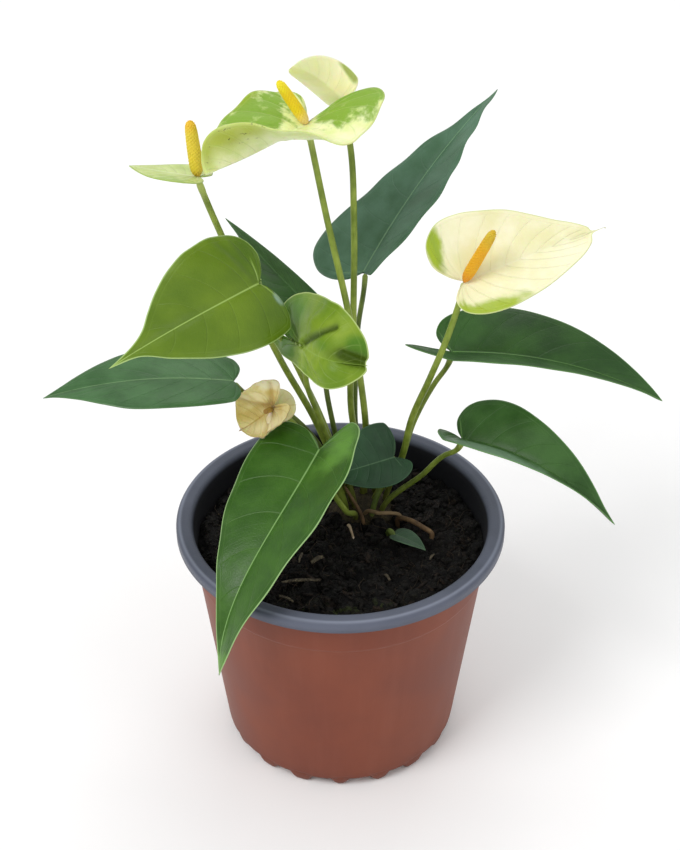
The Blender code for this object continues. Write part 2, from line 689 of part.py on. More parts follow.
def make_old_growth(collection):
    brown = new_material("old_growth", CROWN_BROWN, 0.85)
    start, end = [Vector((*place, FOOT_LEVEL)) for place in RUNNER_ENDS]
    rise = Vector((0.0, 0.0, LOW_STRAIGHT))
    route = [start, start + rise, *[Vector(place) for place in RUNNER_TOP], end + rise, end]
    make_tube("runner", smooth_route(route, True), RUNNER_RADIUS, collection, brown)
    foot = in_crown(OLD_STALK_FOOT, FOOT_LEVEL)
    route = [foot, foot + Vector((0.0, 0.0, STALK_STRAIGHT)), Vector(OLD_STALK_TOP)]
    make_tube("old_stalk", smooth_route(route), OLD_STALK_RADIUS, collection, brown)


def make_plant():
    clear_scene()
    parts = new_collection("potted_anthurium")
    cutters = new_collection("cutters")
    make_pot(parts, cutters)
    make_soil(parts, cutters)
    make_crown(parts, cutters)
    stalk_material = new_material("stalk", STALK_GREEN, 0.5)
    make_leaves(parts, stalk_material)
    make_blooms(parts, stalk_material)
    make_old_growth(parts)


make_plant()
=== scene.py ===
from math import cos, exp, pi, radians, sin

import bmesh
import bpy
import numpy as np
from mathutils import Matrix, Vector, noise


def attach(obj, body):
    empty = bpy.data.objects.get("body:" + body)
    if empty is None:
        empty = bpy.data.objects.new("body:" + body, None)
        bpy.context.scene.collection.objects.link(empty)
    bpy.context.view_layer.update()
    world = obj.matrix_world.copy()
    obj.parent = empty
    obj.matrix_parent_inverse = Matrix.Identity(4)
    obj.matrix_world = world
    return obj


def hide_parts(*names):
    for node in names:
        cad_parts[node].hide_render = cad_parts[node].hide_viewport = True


# A potted anthurium in bloom. Metres, +Z up, -Y towards the camera.
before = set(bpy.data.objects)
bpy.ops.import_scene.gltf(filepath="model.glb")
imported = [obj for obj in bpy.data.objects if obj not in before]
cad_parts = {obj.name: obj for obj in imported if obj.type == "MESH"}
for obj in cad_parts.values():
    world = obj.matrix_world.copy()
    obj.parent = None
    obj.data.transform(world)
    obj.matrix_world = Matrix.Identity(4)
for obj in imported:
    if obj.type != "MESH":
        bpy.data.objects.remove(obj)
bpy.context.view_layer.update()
cadNodes = set(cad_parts)
print("frame loaded:", len(cadNodes), "nodes")


# Node helpers
def colour(code, alpha=1.0):
    # An sRGB hex code as a linear colour
    parts = [int(code[i:i + 2], 16) / 255 for i in (1, 3, 5)]
    return (*[p / 12.92 if p <= 0.04045 else ((p + 0.055) / 1.055) ** 2.4 for p in parts], alpha)


def addNode(tree, kind, inputs=None, **settings):
    made = tree.nodes.new(kind)
    for name, value in settings.items():
        setattr(made, name, value)
    for key, value in (inputs or {}).items():
        if isinstance(value, bpy.types.NodeSocket):
            tree.links.new(value, made.inputs[key])
        else:
            made.inputs[key].default_value = value
    return made


def calc(tree, operation, first, second=0.0, third=None):
    inputs = {0: first, 1: second}
    if third is not None:
        inputs[2] = third
    return addNode(tree, "ShaderNodeMath", inputs, operation=operation).outputs[0]


def step(tree, value, low, high, bottom=0.0, top=1.0):
    # A smooth step of value from low to high; high may be the lower one
    inputs = {0: value, 1: low, 2: high, 3: bottom, 4: top}
    return addNode(tree, "ShaderNodeMapRange", inputs, interpolation_type="SMOOTHSTEP").outputs[0]


def blend(tree, factor, first, second, mode="MIX"):
    inputs = {0: factor, 6: first, 7: second}
    return addNode(tree, "ShaderNodeMix", inputs, data_type="RGBA", blend_type=mode).outputs[2]


def newGroup(name, kind, inputs, outputs):
    tree = bpy.data.node_groups.new(name, kind)
    for label, socketKind, value in inputs:
        socket = tree.interface.new_socket(label, in_out="INPUT", socket_type="NodeSocket" + socketKind)
        if value is not None:
            socket.default_value = value
    for label, socketKind in outputs:
        tree.interface.new_socket(label, in_out="OUTPUT", socket_type="NodeSocket" + socketKind)
    return tree, tree.nodes.new("NodeGroupInput").outputs, tree.nodes.new("NodeGroupOutput").inputs


def noiseTexture(tree, vector, scale, detail=3.0, roughness=0.55, distortion=0.0):
    inputs = {"Vector": vector, "Scale": scale, "Detail": detail, "Roughness": roughness,
              "Distortion": distortion}
    return addNode(tree, "ShaderNodeTexNoise", inputs).outputs[0]


# Shader groups that several finishes share
def makeGrain():
    tree, given, result = newGroup(
        "naturalGrain", "ShaderNodeTree",
        [("Vector", "Vector", None), ("Mottle scale", "Float", 60.0), ("Grain scale", "Float", 900.0)],
        [("Mottle", "Float"), ("Grain", "Float")],
    )
    mottle = noiseTexture(tree, given["Vector"], given["Mottle scale"], 4.0)
    grain = noiseTexture(tree, given["Vector"], given["Grain scale"], 2.0)
    tree.links.new(step(tree, mottle, 0.30, 0.70), result["Mottle"])
    tree.links.new(step(tree, grain, 0.25, 0.75), result["Grain"])
    return tree


def makeVeins():
    # Side veins, the vein beside the margin, the midrib, the margin and a fine net
    tree, given, result = newGroup(
        "bladeVeins", "ShaderNodeTree",
        [
            ("Vector", "Vector", None), ("Phase", "Float", 0.0), ("Spacing", "Float", 5.0),
            ("Rib", "Float", 5.0), ("Rim", "Float", 5.0), ("Vein width", "Float", 0.5),
            ("Rib width", "Float", 0.8), ("Edge width", "Float", 0.6), ("Inset", "Float", 2.5),
        ],
        [("Veins", "Float"), ("Rib", "Float"), ("Edge", "Float"), ("Relief", "Float")],
    )
    offset = calc(tree, "MULTIPLY", calc(tree, "PINGPONG", given["Phase"], 0.5), given["Spacing"])
    main = step(tree, offset, given["Vein width"], 0.0)
    finePhase = calc(tree, "MULTIPLY", given["Phase"], 3.0)
    fineGap = calc(tree, "DIVIDE", given["Spacing"], 3.0)
    fineOffset = calc(tree, "MULTIPLY", calc(tree, "PINGPONG", finePhase, 0.5), fineGap)
    fine = step(tree, fineOffset, calc(tree, "MULTIPLY", given["Vein width"], 0.6), 0.0)
    besideRim = calc(tree, "ABSOLUTE", calc(tree, "SUBTRACT", given["Rim"], given["Inset"]))
    collective = step(tree, besideRim, given["Vein width"], 0.0)
    inside = step(tree, given["Rim"], calc(tree, "MULTIPLY", given["Inset"], 0.7), given["Inset"])
    net = addNode(
        tree, "ShaderNodeTexVoronoi", {"Vector": given["Vector"], "Scale": 620.0},
        feature="DISTANCE_TO_EDGE",
    ).outputs[0]
    netLine = step(tree, net, 0.12, 0.0)
    side = calc(tree, "MULTIPLY", calc(tree, "MAXIMUM", main, calc(tree, "MULTIPLY", fine, 0.22)), inside)
    veins = calc(tree, "MAXIMUM", side, calc(tree, "MULTIPLY", collective, 0.6))
    veins = calc(tree, "MAXIMUM", veins, calc(tree, "MULTIPLY", netLine, 0.16))
    tree.links.new(veins, result["Veins"])
    rib = step(tree, given["Rib"], given["Rib width"], calc(tree, "MULTIPLY", given["Rib width"], 0.35))
    tree.links.new(rib, result["Rib"])
    edge = step(tree, given["Rim"], given["Edge width"], calc(tree, "MULTIPLY", given["Edge width"], 0.4))
    tree.links.new(edge, result["Edge"])
    tree.links.new(calc(tree, "SUBTRACT", 1.0, veins), result["Relief"])
    return tree


def makeSpecks():
    # Loose soil specks and a thin film of dust, more of it where the surface faces up
    tree, given, result = newGroup(
        "soilSpecks", "ShaderNodeTree",
        [("Vector", "Vector", None), ("Scale", "Float", 420.0), ("Amount", "Float", 0.5)],
        [("Specks", "Float"), ("Film", "Float")],
    )
    fine = noiseTexture(tree, given["Vector"], given["Scale"], 4.0, 0.7)
    broad = noiseTexture(tree, given["Vector"], calc(tree, "MULTIPLY", given["Scale"], 0.06), 3.0)
    limit = calc(tree, "SUBTRACT", 0.86, calc(tree, "MULTIPLY", given["Amount"], 0.28))
    both = calc(tree, "ADD", calc(tree, "MULTIPLY", fine, 0.8), calc(tree, "MULTIPLY", broad, 0.3))
    specks = step(tree, both, limit, calc(tree, "ADD", limit, 0.05))
    facing = addNode(tree, "ShaderNodeSeparateXYZ", {0: addNode(tree, "ShaderNodeNewGeometry").outputs["Normal"]})
    film = calc(tree, "MULTIPLY", step(tree, facing.outputs[2], 0.0, 1.0), step(tree, broad, 0.3, 0.7))
    tree.links.new(specks, result["Specks"])
    tree.links.new(calc(tree, "MULTIPLY", film, given["Amount"]), result["Film"])
    return tree


grainGroup = makeGrain()
veinGroup = makeVeins()
speckGroup = makeSpecks()


# Finishes
def newMaterial(name, constants):
    material = bpy.data.materials.new(name)
    material.use_nodes = True
    tree = material.node_tree
    shader = tree.nodes["Principled BSDF"]
    for label, value in constants.items():
        shader.inputs[label].default_value = value
    spot = addNode(tree, "ShaderNodeTexCoord").outputs["Object"]
    return material, tree, shader, spot


def useGroup(tree, group, inputs):
    made = tree.nodes.new("ShaderNodeGroup")
    made.node_tree = group
    for key, value in inputs.items():
        if isinstance(value, bpy.types.NodeSocket):
            tree.links.new(value, made.inputs[key])
        else:
            made.inputs[key].default_value = value
    return made.outputs


def attributeParts(tree, name):
    vector = addNode(tree, "ShaderNodeAttribute", attribute_name=name).outputs["Vector"]
    return addNode(tree, "ShaderNodeSeparateXYZ", {0: vector}).outputs


def bump(tree, shader, height, distance, strength=1.0):
    made = addNode(tree, "ShaderNodeBump", {"Height": height, "Distance": distance, "Strength": strength})
    tree.links.new(made.outputs[0], shader.inputs["Normal"])


def bladeMaterial(name, look, under=False):
    constants = {
        "Specular IOR Level": look.get("shine", 0.3),
        "Coat Weight": look.get("coat", 0.06) * (0.15 if under else 1.0),
        "Coat Roughness": look.get("coatRoughness", 0.3),
        "Subsurface Weight": look.get("glow", 0.0),
        "Subsurface Radius": (0.6, 1.0, 0.3),
        "Subsurface Scale": 0.0012,
    }
    material, tree, shader, spot = newMaterial(name, constants)
    phase, rib, rim = attributeParts(tree, "bladePlace")
    spacing, patch, shade = attributeParts(tree, "bladeLook")
    grain = useGroup(tree, grainGroup, {"Vector": spot, "Mottle scale": look.get("mottle", 70.0),
                                        "Grain scale": 1400.0})
    veins = useGroup(tree, veinGroup, {
        "Vector": spot, "Phase": phase, "Spacing": spacing, "Rib": rib, "Rim": rim,
        "Vein width": look.get("veinWidth", 0.45), "Rib width": look.get("ribWidth", 0.75),
        "Edge width": look.get("edgeWidth", 0.55), "Inset": look.get("inset", 2.2),
    })
    deep, fresh = (look["underDeep"], look["underFresh"]) if under else (look["deep"], look["fresh"])
    body = blend(tree, grain["Mottle"], colour(deep), colour(fresh))
    patchColour = look.get("patch", look["fresh"])
    if under:
        patchColour = look.get("underPatch", patchColour)
    streaks = noiseTexture(tree, addNode(tree, "ShaderNodeCombineXYZ", {
        0: calc(tree, "MULTIPLY", phase, 1.7), 1: calc(tree, "MULTIPLY", rib, 0.16),
    }).outputs[0], 1.0, 5.0, 0.6)
    uneven = calc(tree, "ADD", calc(tree, "MULTIPLY", grain["Mottle"], 1 - look.get("streak", 0.0)),
                  calc(tree, "MULTIPLY", step(tree, streaks, 0.3, 0.7), look.get("streak", 0.0)))
    uneven = calc(tree, "MULTIPLY", calc(tree, "SUBTRACT", uneven, 0.5), look.get("ragged", 0.35))
    uneven = calc(tree, "MULTIPLY", uneven, step(tree, patch, 0.02, 0.30))
    # Patch colour: patches of the blade's own colour, and on some leaves a painted highlight, glint or sheen
    body = blend(tree, step(tree, calc(tree, "ADD", patch, uneven), 0.2, 0.8), body, colour(patchColour))
    # Shade colour: painted shade along creases and in folds and hollows, and on some blooms a darker tone of their own
    body = blend(tree, calc(tree, "MULTIPLY", shade, look.get("shadeStrength", 0.8)), body, colour(look.get("shade", look["deep"])))
    veinStrength = look.get("veinStrength", 0.3) * (1.5 if under else 1.0)
    body = blend(tree, calc(tree, "MULTIPLY", veins["Veins"], veinStrength), body, colour(look["vein"]))
    basalGap, basalShare, _ = attributeParts(tree, "bladeBasal")
    basalLine = step(tree, calc(tree, "ABSOLUTE", basalGap), look.get("ribWidth", 0.75) * 0.7, 0.1)
    ribs = calc(tree, "MAXIMUM", veins["Rib"], calc(tree, "MULTIPLY", calc(tree, "MULTIPLY", basalLine, basalShare), 0.6))
    body = blend(tree, calc(tree, "MULTIPLY", ribs, look.get("ribStrength", 0.75)), body, colour(look["rib"]))
    body = blend(tree, calc(tree, "MULTIPLY", veins["Edge"], look.get("edgeStrength", 0.8)), body, colour(look["edge"]))
    if "specks" in look:
        specks = useGroup(tree, speckGroup, {"Vector": spot, "Scale": 500.0, "Amount": look["specks"]})
        body = blend(tree, calc(tree, "MULTIPLY", specks["Specks"], shade), body, colour("#26260C"))
    tree.links.new(body, shader.inputs["Base Color"])
    rough = look.get("roughness", 0.42) + (0.22 if under else 0.0)
    tree.links.new(calc(tree, "MULTIPLY_ADD", grain["Mottle"], 0.12, rough - 0.06), shader.inputs["Roughness"])
    height = calc(tree, "MULTIPLY_ADD", grain["Grain"], 0.15, calc(tree, "MULTIPLY", veins["Relief"], -1.0 if under else 1.0))
    bump(tree, shader, height, look.get("relief", 0.00012))
    return material


# Outline of half a blade: share of its length, share of its half width
outlines = {
    "heart": (
        (0.00, 0.00), (-0.07, 0.14), (-0.13, 0.38), (-0.11, 0.68), (-0.02, 0.92), (0.12, 1.00),
        (0.28, 0.94), (0.43, 0.78), (0.57, 0.54), (0.70, 0.29), (0.84, 0.10), (1.00, 0.00),
    ),
    "oval": (
        (0.00, 0.00), (-0.06, 0.18), (-0.09, 0.42), (-0.05, 0.72), (0.07, 0.93), (0.23, 1.00),
        (0.40, 0.92), (0.56, 0.77), (0.70, 0.57), (0.82, 0.36), (0.92, 0.17), (1.00, 0.00),
    ),
    "lobed": (
        (0.00, 0.00), (-0.07, 0.14), (-0.13, 0.36), (-0.13, 0.62), (-0.08, 0.86), (0.06, 1.00),
        (0.26, 0.95), (0.43, 0.78), (0.57, 0.54), (0.70, 0.29), (0.84, 0.10), (1.00, 0.00),
    ),
    "blunt": (
        (0.00, 0.00), (-0.10, 0.16), (-0.17, 0.45), (-0.15, 0.76), (-0.03, 0.95), (0.18, 1.00),
        (0.42, 0.98), (0.65, 0.90), (0.83, 0.70), (0.95, 0.42), (1.00, 0.15), (1.00, 0.00),
    ),
    "full": (
        (0.00, 0.00), (-0.08, 0.18), (-0.14, 0.42), (-0.06, 0.62), (0.12, 0.76), (0.32, 0.91),
        (0.52, 1.00), (0.70, 0.96), (0.85, 0.74), (0.95, 0.43), (1.00, 0.15), (1.00, 0.00),
    ),
    "arrow": (
        (0.00, 0.00), (-0.06, 0.20), (-0.09, 0.48), (-0.08, 0.76), (-0.02, 0.96), (0.08, 1.00),
        (0.20, 0.84), (0.35, 0.64), (0.51, 0.47), (0.66, 0.30), (0.82, 0.10), (1.00, 0.00),
    ),
    "arrowRight": (
        (0.00, 0.00), (-0.01, 0.06), (-0.01, 0.16), (0.00, 0.30), (0.05, 0.48), (0.14, 0.66), (0.26, 0.84),
        (0.38, 0.93), (0.49, 0.91), (0.61, 0.74), (0.74, 0.50), (0.87, 0.25), (1.00, 0.00),
    ),
    "topNear": (
        (0.00, 0.00), (-0.07, 0.14), (-0.125, 0.36), (-0.132, 0.60), (-0.105, 0.80), (-0.035, 0.91), (0.10, 0.93),
        (0.28, 0.86), (0.48, 0.68), (0.66, 0.60), (0.82, 0.52), (0.93, 0.37), (0.985, 0.17), (1.00, 0.00),
    ),
    "frontLeft": (
        (0.00, 0.00), (-0.07, 0.16), (-0.13, 0.45), (-0.13, 0.80), (-0.04, 1.02), (0.10, 1.09), (0.27, 1.02),
        (0.43, 0.84), (0.57, 0.60), (0.70, 0.36), (0.84, 0.13), (1.00, 0.00),
    ),
    "upperTop": (
        (0.00, 0.00), (-0.07, 0.16), (-0.12, 0.45), (-0.10, 0.76), (-0.02, 0.96), (0.12, 1.06), (0.28, 1.02),
        (0.43, 0.88), (0.57, 0.66), (0.68, 0.42), (0.76, 0.22), (0.86, 0.09), (1.00, 0.00),
    ),
    "upperLow": (
        (0.00, 0.00), (-0.07, 0.14), (-0.13, 0.38), (-0.11, 0.68), (-0.02, 0.92), (0.12, 1.00), (0.28, 0.96),
        (0.43, 0.84), (0.57, 0.66), (0.70, 0.42), (0.84, 0.12), (1.00, 0.00),
    ),
    "slimTop": (
        (0.00, 0.00), (-0.06, 0.18), (-0.09, 0.42), (-0.05, 0.72), (0.07, 0.93), (0.20, 0.95), (0.36, 0.80),
        (0.52, 0.62), (0.66, 0.44), (0.79, 0.25), (0.90, 0.09), (1.00, 0.00),
    ),
    "slimLow": (
        (0.00, 0.00), (-0.06, 0.18), (-0.09, 0.42), (-0.05, 0.72), (0.07, 0.93), (0.23, 0.98), (0.40, 0.86),
        (0.56, 0.64), (0.70, 0.41), (0.82, 0.21), (0.92, 0.07), (1.00, 0.00),
    ),
    "youngFar": (
        (0.00, 0.00), (-0.09, 0.00), (-0.17, 0.08), (-0.20, 0.30), (-0.17, 0.64), (-0.05, 0.92), (0.18, 0.98),
        (0.42, 0.98), (0.65, 0.95), (0.83, 0.80), (0.95, 0.52), (1.00, 0.18), (1.00, 0.00),
    ),
    "topFar": (
        (0.00, 0.00), (-0.05, 0.20), (-0.07, 0.46), (-0.01, 0.78), (0.13, 1.02), (0.34, 0.98),
        (0.54, 0.86), (0.68, 0.70), (0.80, 0.43), (0.89, 0.22), (0.95, 0.09), (1.00, 0.00),
    ),
    "rightFar": (
        (0.00, 0.00), (-0.07, 0.14), (-0.13, 0.38), (-0.12, 0.70), (-0.03, 0.93), (0.12, 0.95), (0.28, 0.86),
        (0.43, 0.74), (0.57, 0.55), (0.70, 0.36), (0.81, 0.22), (0.885, 0.10), (0.91, 0.02), (1.00, 0.00),
    ),
    "rightNear": (
        (0.00, 0.00), (-0.06, 0.18), (-0.09, 0.42), (-0.05, 0.72), (0.07, 0.93), (0.23, 1.00), (0.40, 0.93),
        (0.56, 0.80), (0.70, 0.62), (0.81, 0.44), (0.88, 0.24), (0.90, 0.07), (0.93, 0.02), (1.00, 0.00),
    ),
    "backRound": (
        (0.00, 0.00), (-0.07, 0.14), (-0.13, 0.38), (-0.11, 0.68), (-0.02, 0.92), (0.12, 1.00),
        (0.28, 0.97), (0.45, 0.86), (0.62, 0.70), (0.78, 0.50), (0.92, 0.26), (1.00, 0.00),
    ),
    "youngNear": (
        (0.00, 0.00), (-0.08, 0.01), (-0.15, 0.12), (-0.165, 0.42), (-0.09, 0.66), (0.10, 0.73), (0.32, 0.79),
        (0.52, 0.87), (0.70, 0.89), (0.85, 0.72), (0.95, 0.43), (1.00, 0.15), (1.00, 0.00),
    ),
    "long": (
        (0.00, 0.00), (-0.05, 0.20), (-0.07, 0.46), (0.00, 0.72), (0.16, 0.92), (0.36, 1.00),
        (0.54, 0.94), (0.68, 0.72), (0.80, 0.43), (0.89, 0.22), (0.95, 0.09), (1.00, 0.00),
    ),
}
bladeGrid = {"rows": 96, "columns": 26, "lobeShare": 0.30, "rowSpacing": 1.15, "weld": 0.00004}
crown = {
    "centre": (0.009, 0.020), "radii": (0.0145, 0.0135, 0.0080), "middle": 0.089, "lump": 0.05,
    "footLevel": 0.0865, "straight": 0.0062, "arrival": 0.006, "lowStraight": 0.0078,
}


def outlineAt(outline, share):
    place = share * (len(outline) - 1)
    index = min(int(place), len(outline) - 2)
    t = place - index
    a, b = Vector(outline[max(index - 1, 0)]), Vector(outline[index])
    c, d = Vector(outline[index + 1]), Vector(outline[min(index + 2, len(outline) - 1)])
    return 0.5 * (2 * b + (c - a) * t + (2 * a - 5 * b + 4 * c - d) * t**2 + (3 * b - a - 3 * c + d) * t**3)


def bow(along, power):
    # From 0 at the junction to 1 and back to 0 at the tip; a high power bends late
    peak = (1 / power) ** (1 / (power - 1))
    return (along - max(along, 0.0) ** power) / (peak - peak**power)


def bladeFrame(blade, along):
    # The midrib's point, and the directions to the blade's left and up there
    start = Vector(blade["junction"])
    chord = Vector(blade["tip"]) - start
    forward = chord.normalized()
    left = Matrix.Rotation(radians(blade["roll"]), 3, forward) @ Vector((0, 0, 1)).cross(forward).normalized()
    up = forward.cross(left)

    def midrib(share):
        lift = up * (blade["arch"] * chord.length * bow(share, blade["droop"]))
        aside = left * (blade.get("sway", 0.0) * chord.length * 4 * share * (1 - share))
        return start + chord * share + lift + aside

    ahead = (midrib(along + 0.01) - midrib(along - 0.01)).normalized()
    left = (left - ahead * left.dot(ahead)).normalized()
    return midrib(along), left, ahead.cross(left)


def onBlade(blade, along, out):
    # along: 0 at the junction, 1 at the tip, below 0 in the lobes; out: -1 right, 1 left
    side = 0 if out >= 0 else 1
    middle, left, up = bladeFrame(blade, along)
    reach = abs(out) * blade["widths"][side]
    closing = blade.get("closing", (0, 0))[side] * max(along, 0.0) ** 1.5
    turn = radians(blade["folds"][side] + closing + blade["cups"][side] * abs(out) / 2)
    length = (Vector(blade["tip"]) - Vector(blade["junction"])).length
    rise = reach * sin(turn) + blade.get("lifts", (0.0, 0.0))[side] * max(-along, 0.0) * length
    rise += blade.get("wave", 0.0) * out * out * sin(2 * pi * blade.get("waves", 2.0) * along + side)
    return middle + left * (reach * cos(turn) * (1 if side == 0 else -1)) + up * rise


def smoothStep(value, low, high):
    t = min(max((value - low) / (high - low), 0.0), 1.0)
    return t * t * (3 - 2 * t)


def besideLine(along, out, line, length, wide):
    # Distance in metres from a blade point to a line between two blade points
    reach = Vector(((along - line[0]) * length, (out - line[1]) * wide))
    course = Vector(((line[2] - line[0]) * length, (line[3] - line[1]) * wide))
    share = min(max(reach.dot(course) / course.length_squared, 0.0), 1.0)
    return (reach - course * share).length


def besideBasal(along, out, end, length, wide):
    # Signed distance in mm to the vein from the junction to end, and how strong it is there
    reach, course = Vector((along * length, out * wide)), Vector((end[0] * length, end[1] * wide))
    ahead = reach.dot(course) / course.length
    aside = (reach.x * course.y - reach.y * course.x) / course.length
    strength = smoothStep(ahead, 0.0, 0.001) * (1 - smoothStep(ahead, course.length * 0.6, course.length))
    return aside * 1000, strength if out * end[1] > 0 else 0.0


def bladeMesh(name, blade):
    rows, columns = bladeGrid["rows"], bladeGrid["columns"]
    count, wide = rows + 1, 2 * columns + 1
    places = np.zeros((count, wide, 3))
    alongs, outs, rimGap = np.zeros((count, wide)), np.zeros((count, wide)), np.zeros((count, wide))
    ribGap, phase = np.zeros((count, wide)), np.zeros((count, wide))
    length = (Vector(blade["tip"]) - Vector(blade["junction"])).length
    for row in range(count):
        share = row / rows
        ribAlong = max((share - bladeGrid["lobeShare"]) / (1 - bladeGrid["lobeShare"]), 0.0) ** bladeGrid["rowSpacing"]
        ribPoint = onBlade(blade, ribAlong, 0.0)
        for side in (0, 1):
            rimAlong, rimOut = outlineAt(outlines[blade["halves"][side]], share)
            rimOut = max(rimOut, 0.0)
            if rimAlong < 0:
                rimAlong *= blade["lobes"][side]
            rimPoint = onBlade(blade, rimAlong, rimOut if side == 0 else -rimOut)
            span = (rimPoint - ribPoint).length
            for number in range(columns + 1):
                out = number / columns
                column = columns + number if side == 0 else columns - number
                along = ribAlong + (rimAlong - ribAlong) * out
                signed = rimOut * out if side == 0 else -rimOut * out
                places[row, column] = onBlade(blade, along, signed)
                alongs[row, column], outs[row, column] = along, signed
                rimGap[row, column] = (1 - out) * span
                back = max(-along, 0.0) * length
                ribGap[row, column] = (back**2 + (rimOut * out * blade["widths"][side]) ** 2) ** 0.5
                phase[row, column] = (share - blade.get("slant", 0.10) * out**1.3) * blade.get("veins", 15)
    down, across = np.gradient(places, axis=0), np.gradient(places, axis=1)
    normal = np.cross(down, across)
    size = np.linalg.norm(normal, axis=2, keepdims=True)
    up = np.array(bladeFrame(blade, 0.0)[2])
    middle = normal[rows // 2, columns]
    if middle.dot(np.array(bladeFrame(blade, 0.3)[2])) < 0:
        normal = -normal
        flipped = True
    else:
        flipped = False
    normal = np.where(size > 1e-13, normal / np.maximum(size, 1e-13), up)
    nearJunction = np.clip(1 - ribGap / 0.0015, 0, 1)[..., None] * (alongs < 0.03)[..., None]
    normal = normal * (1 - nearJunction) + up * nearJunction
    normal /= np.linalg.norm(normal, axis=2, keepdims=True)
    spacing = np.linalg.norm(down, axis=2) * rows / blade.get("veins", 15)
    shape = {"thickness": 0.0005, "quilt": 0.00016, "groove": 0.00012, "ridge": 0.0006, "lumps": 0.0003, "lumpSize": 0.012, "ripple": 0.0, "ripples": 5.0, "curl": 0.0, "curlWidth": 0.004, "dents": (), "creases": ()}
    shape.update(blade.get("form", {}))
    upper, lower = [], []
    bladePlace, bladeLook, bladeBasal = [], [], []
    for row in range(count):
        for column in range(wide):
            point, facing = Vector(places[row, column]), Vector(normal[row, column])
            gap = abs(phase[row, column] - round(phase[row, column])) * spacing[row, column]
            rib, rim, along, out = ribGap[row, column], rimGap[row, column], alongs[row, column], outs[row, column]
            inside = smoothStep(rib, 0.0005, 0.003) * smoothStep(rim, 0.0003, 0.0025)
            lift = shape["quilt"] * (1 - exp(-((gap / 0.0012) ** 2))) * inside
            lift -= shape["groove"] * exp(-((rib / 0.0011) ** 2)) * smoothStep(along, 0.02, 0.1)
            lift += shape["lumps"] * noise.noise(point / shape["lumpSize"] + Vector((7, 3, 1))) * smoothStep(rib, 0.001, 0.008)
            edgeShare = 1 - min(rim / 0.006, 1.0)
            lift += shape["ripple"] * edgeShare**2 * sin(2 * pi * shape["ripples"] * along + 2 * out)
            for dentAlong, dentOut, dentLong, dentWide, depth in shape["dents"]:
                lift += depth * exp(-(((along - dentAlong) / dentLong) ** 2) - (((out - dentOut) / dentWide) ** 2))
            lift += shape["curl"] * max(1 - rim / shape["curlWidth"], 0.0) ** 2
            halfWidth = blade["widths"][0 if out >= 0 else 1]
            # Each crease: two blade points, a width, a depth, and how much painted shade is laid along the fold
            creaseShade = 0.0
            for line in shape["creases"]:
                near = exp(-((besideLine(along, out, line, length, halfWidth) / line[4]) ** 2))
                lift -= line[5] * near
                creaseShade = max(creaseShade, line[6] * near)
            half = shape["thickness"] / 2 * (0.55 + 0.45 * smoothStep(rim, 0.0, 0.0012))
            fade = 1 - 0.75 * smoothStep(along, 0.0, 1.0)
            ridge = shape["ridge"] * fade * exp(-((rib / 0.0008) ** 2)) * smoothStep(rim, 0.0, 0.002)
            ridge += 0.35 * shape["ridge"] * fade * exp(-((gap / 0.0006) ** 2)) * inside
            upper.append(point + facing * (lift + half))
            lower.append(point + facing * (lift - half - ridge))
            paint, shade = 0.0, creaseShade
            for patchAlong, patchOut, patchLong, patchWide, strength in blade.get("patches", ()):
                paint += strength * exp(-(((along - patchAlong) / patchLong) ** 2) - (((out - patchOut) / patchWide) ** 2))
            for patchAlong, patchOut, patchLong, patchWide, strength in blade.get("shades", ()):
                shade += strength * exp(-(((along - patchAlong) / patchLong) ** 2) - (((out - patchOut) / patchWide) ** 2))
            bladePlace.append((phase[row, column], rib * 1000 * (1 + 1.2 * max(along, 0.0)), rim * 1000))
            basal = blade.get("basals", ((-0.07, 0.5), (-0.07, -0.5)))[0 if out >= 0 else 1]
            bladeBasal.append((*besideBasal(along, out, basal, length, halfWidth), 0.0))
            bladeLook.append((spacing[row, column] * 1000, max(0.0, min(paint, 1.0)), max(0.0, min(shade, 1.0))))
    total = count * wide
    faces, finishes = [], []
    for row in range(rows):
        for column in range(wide - 1):
            a, b = row * wide + column, row * wide + column + 1
            quad = (a, b, b + wide, a + wide) if flipped else (a, a + wide, b + wide, b)
            faces.append(quad)
            faces.append(tuple(total + index for index in reversed(quad)))
            finishes += [0, 1]
        for column in (0, wide - 1):
            a, b = row * wide + column, (row + 1) * wide + column
            quad = (a, b, total + b, total + a)
            if (column == 0) != flipped:
                quad = tuple(reversed(quad))
            faces.append(quad)
            finishes.append(0)
    mesh = bpy.data.meshes.new(name)
    mesh.from_pydata(upper + lower, [], faces)
    for label, values in (("bladePlace", bladePlace), ("bladeLook", bladeLook), ("bladeBasal", bladeBasal)):
        attribute = mesh.attributes.new(label, "FLOAT_VECTOR", "POINT")
        attribute.data.foreach_set("vector", np.array(values * 2, dtype=np.float32).ravel())
    mesh.polygons.foreach_set("material_index", finishes)
    tidy = bmesh.new()
    tidy.from_mesh(mesh)
    bmesh.ops.remove_doubles(tidy, verts=tidy.verts, dist=bladeGrid["weld"])
    bmesh.ops.dissolve_degenerate(tidy, edges=tidy.edges, dist=0.000002)
    tidy.to_mesh(mesh)
    tidy.free()
    mesh.shade_smooth()
    return mesh


def newPiece(name, mesh, materials, slot, *nodes):
    piece = bpy.data.objects.new(name, mesh)
    bpy.context.scene.collection.objects.link(piece)
    if materials:
        mesh.materials.clear()
        for material in materials:
            mesh.materials.append(material)
    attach(piece, "root")
    if nodes:
        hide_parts(*nodes)
    return piece


def runTree(tree, source, values):
    # Runs a Geometry Nodes tree on a mesh and returns the plain mesh
    holder = bpy.data.objects.new("holder", source)
    bpy.context.scene.collection.objects.link(holder)
    modifier = holder.modifiers.new(tree.name, "NODES")
    modifier.node_group = tree
    for item in tree.interface.items_tree:
        if item.item_type == "SOCKET" and item.in_out == "INPUT" and item.name in values:
            modifier[item.identifier] = values[item.name]
    bpy.context.view_layer.update()
    graph = bpy.context.evaluated_depsgraph_get()
    mesh = bpy.data.meshes.new_from_object(holder.evaluated_get(graph), preserve_all_data_layers=True, depsgraph=graph)
    holder.modifiers.remove(modifier)
    bpy.data.objects.remove(holder)
    return mesh


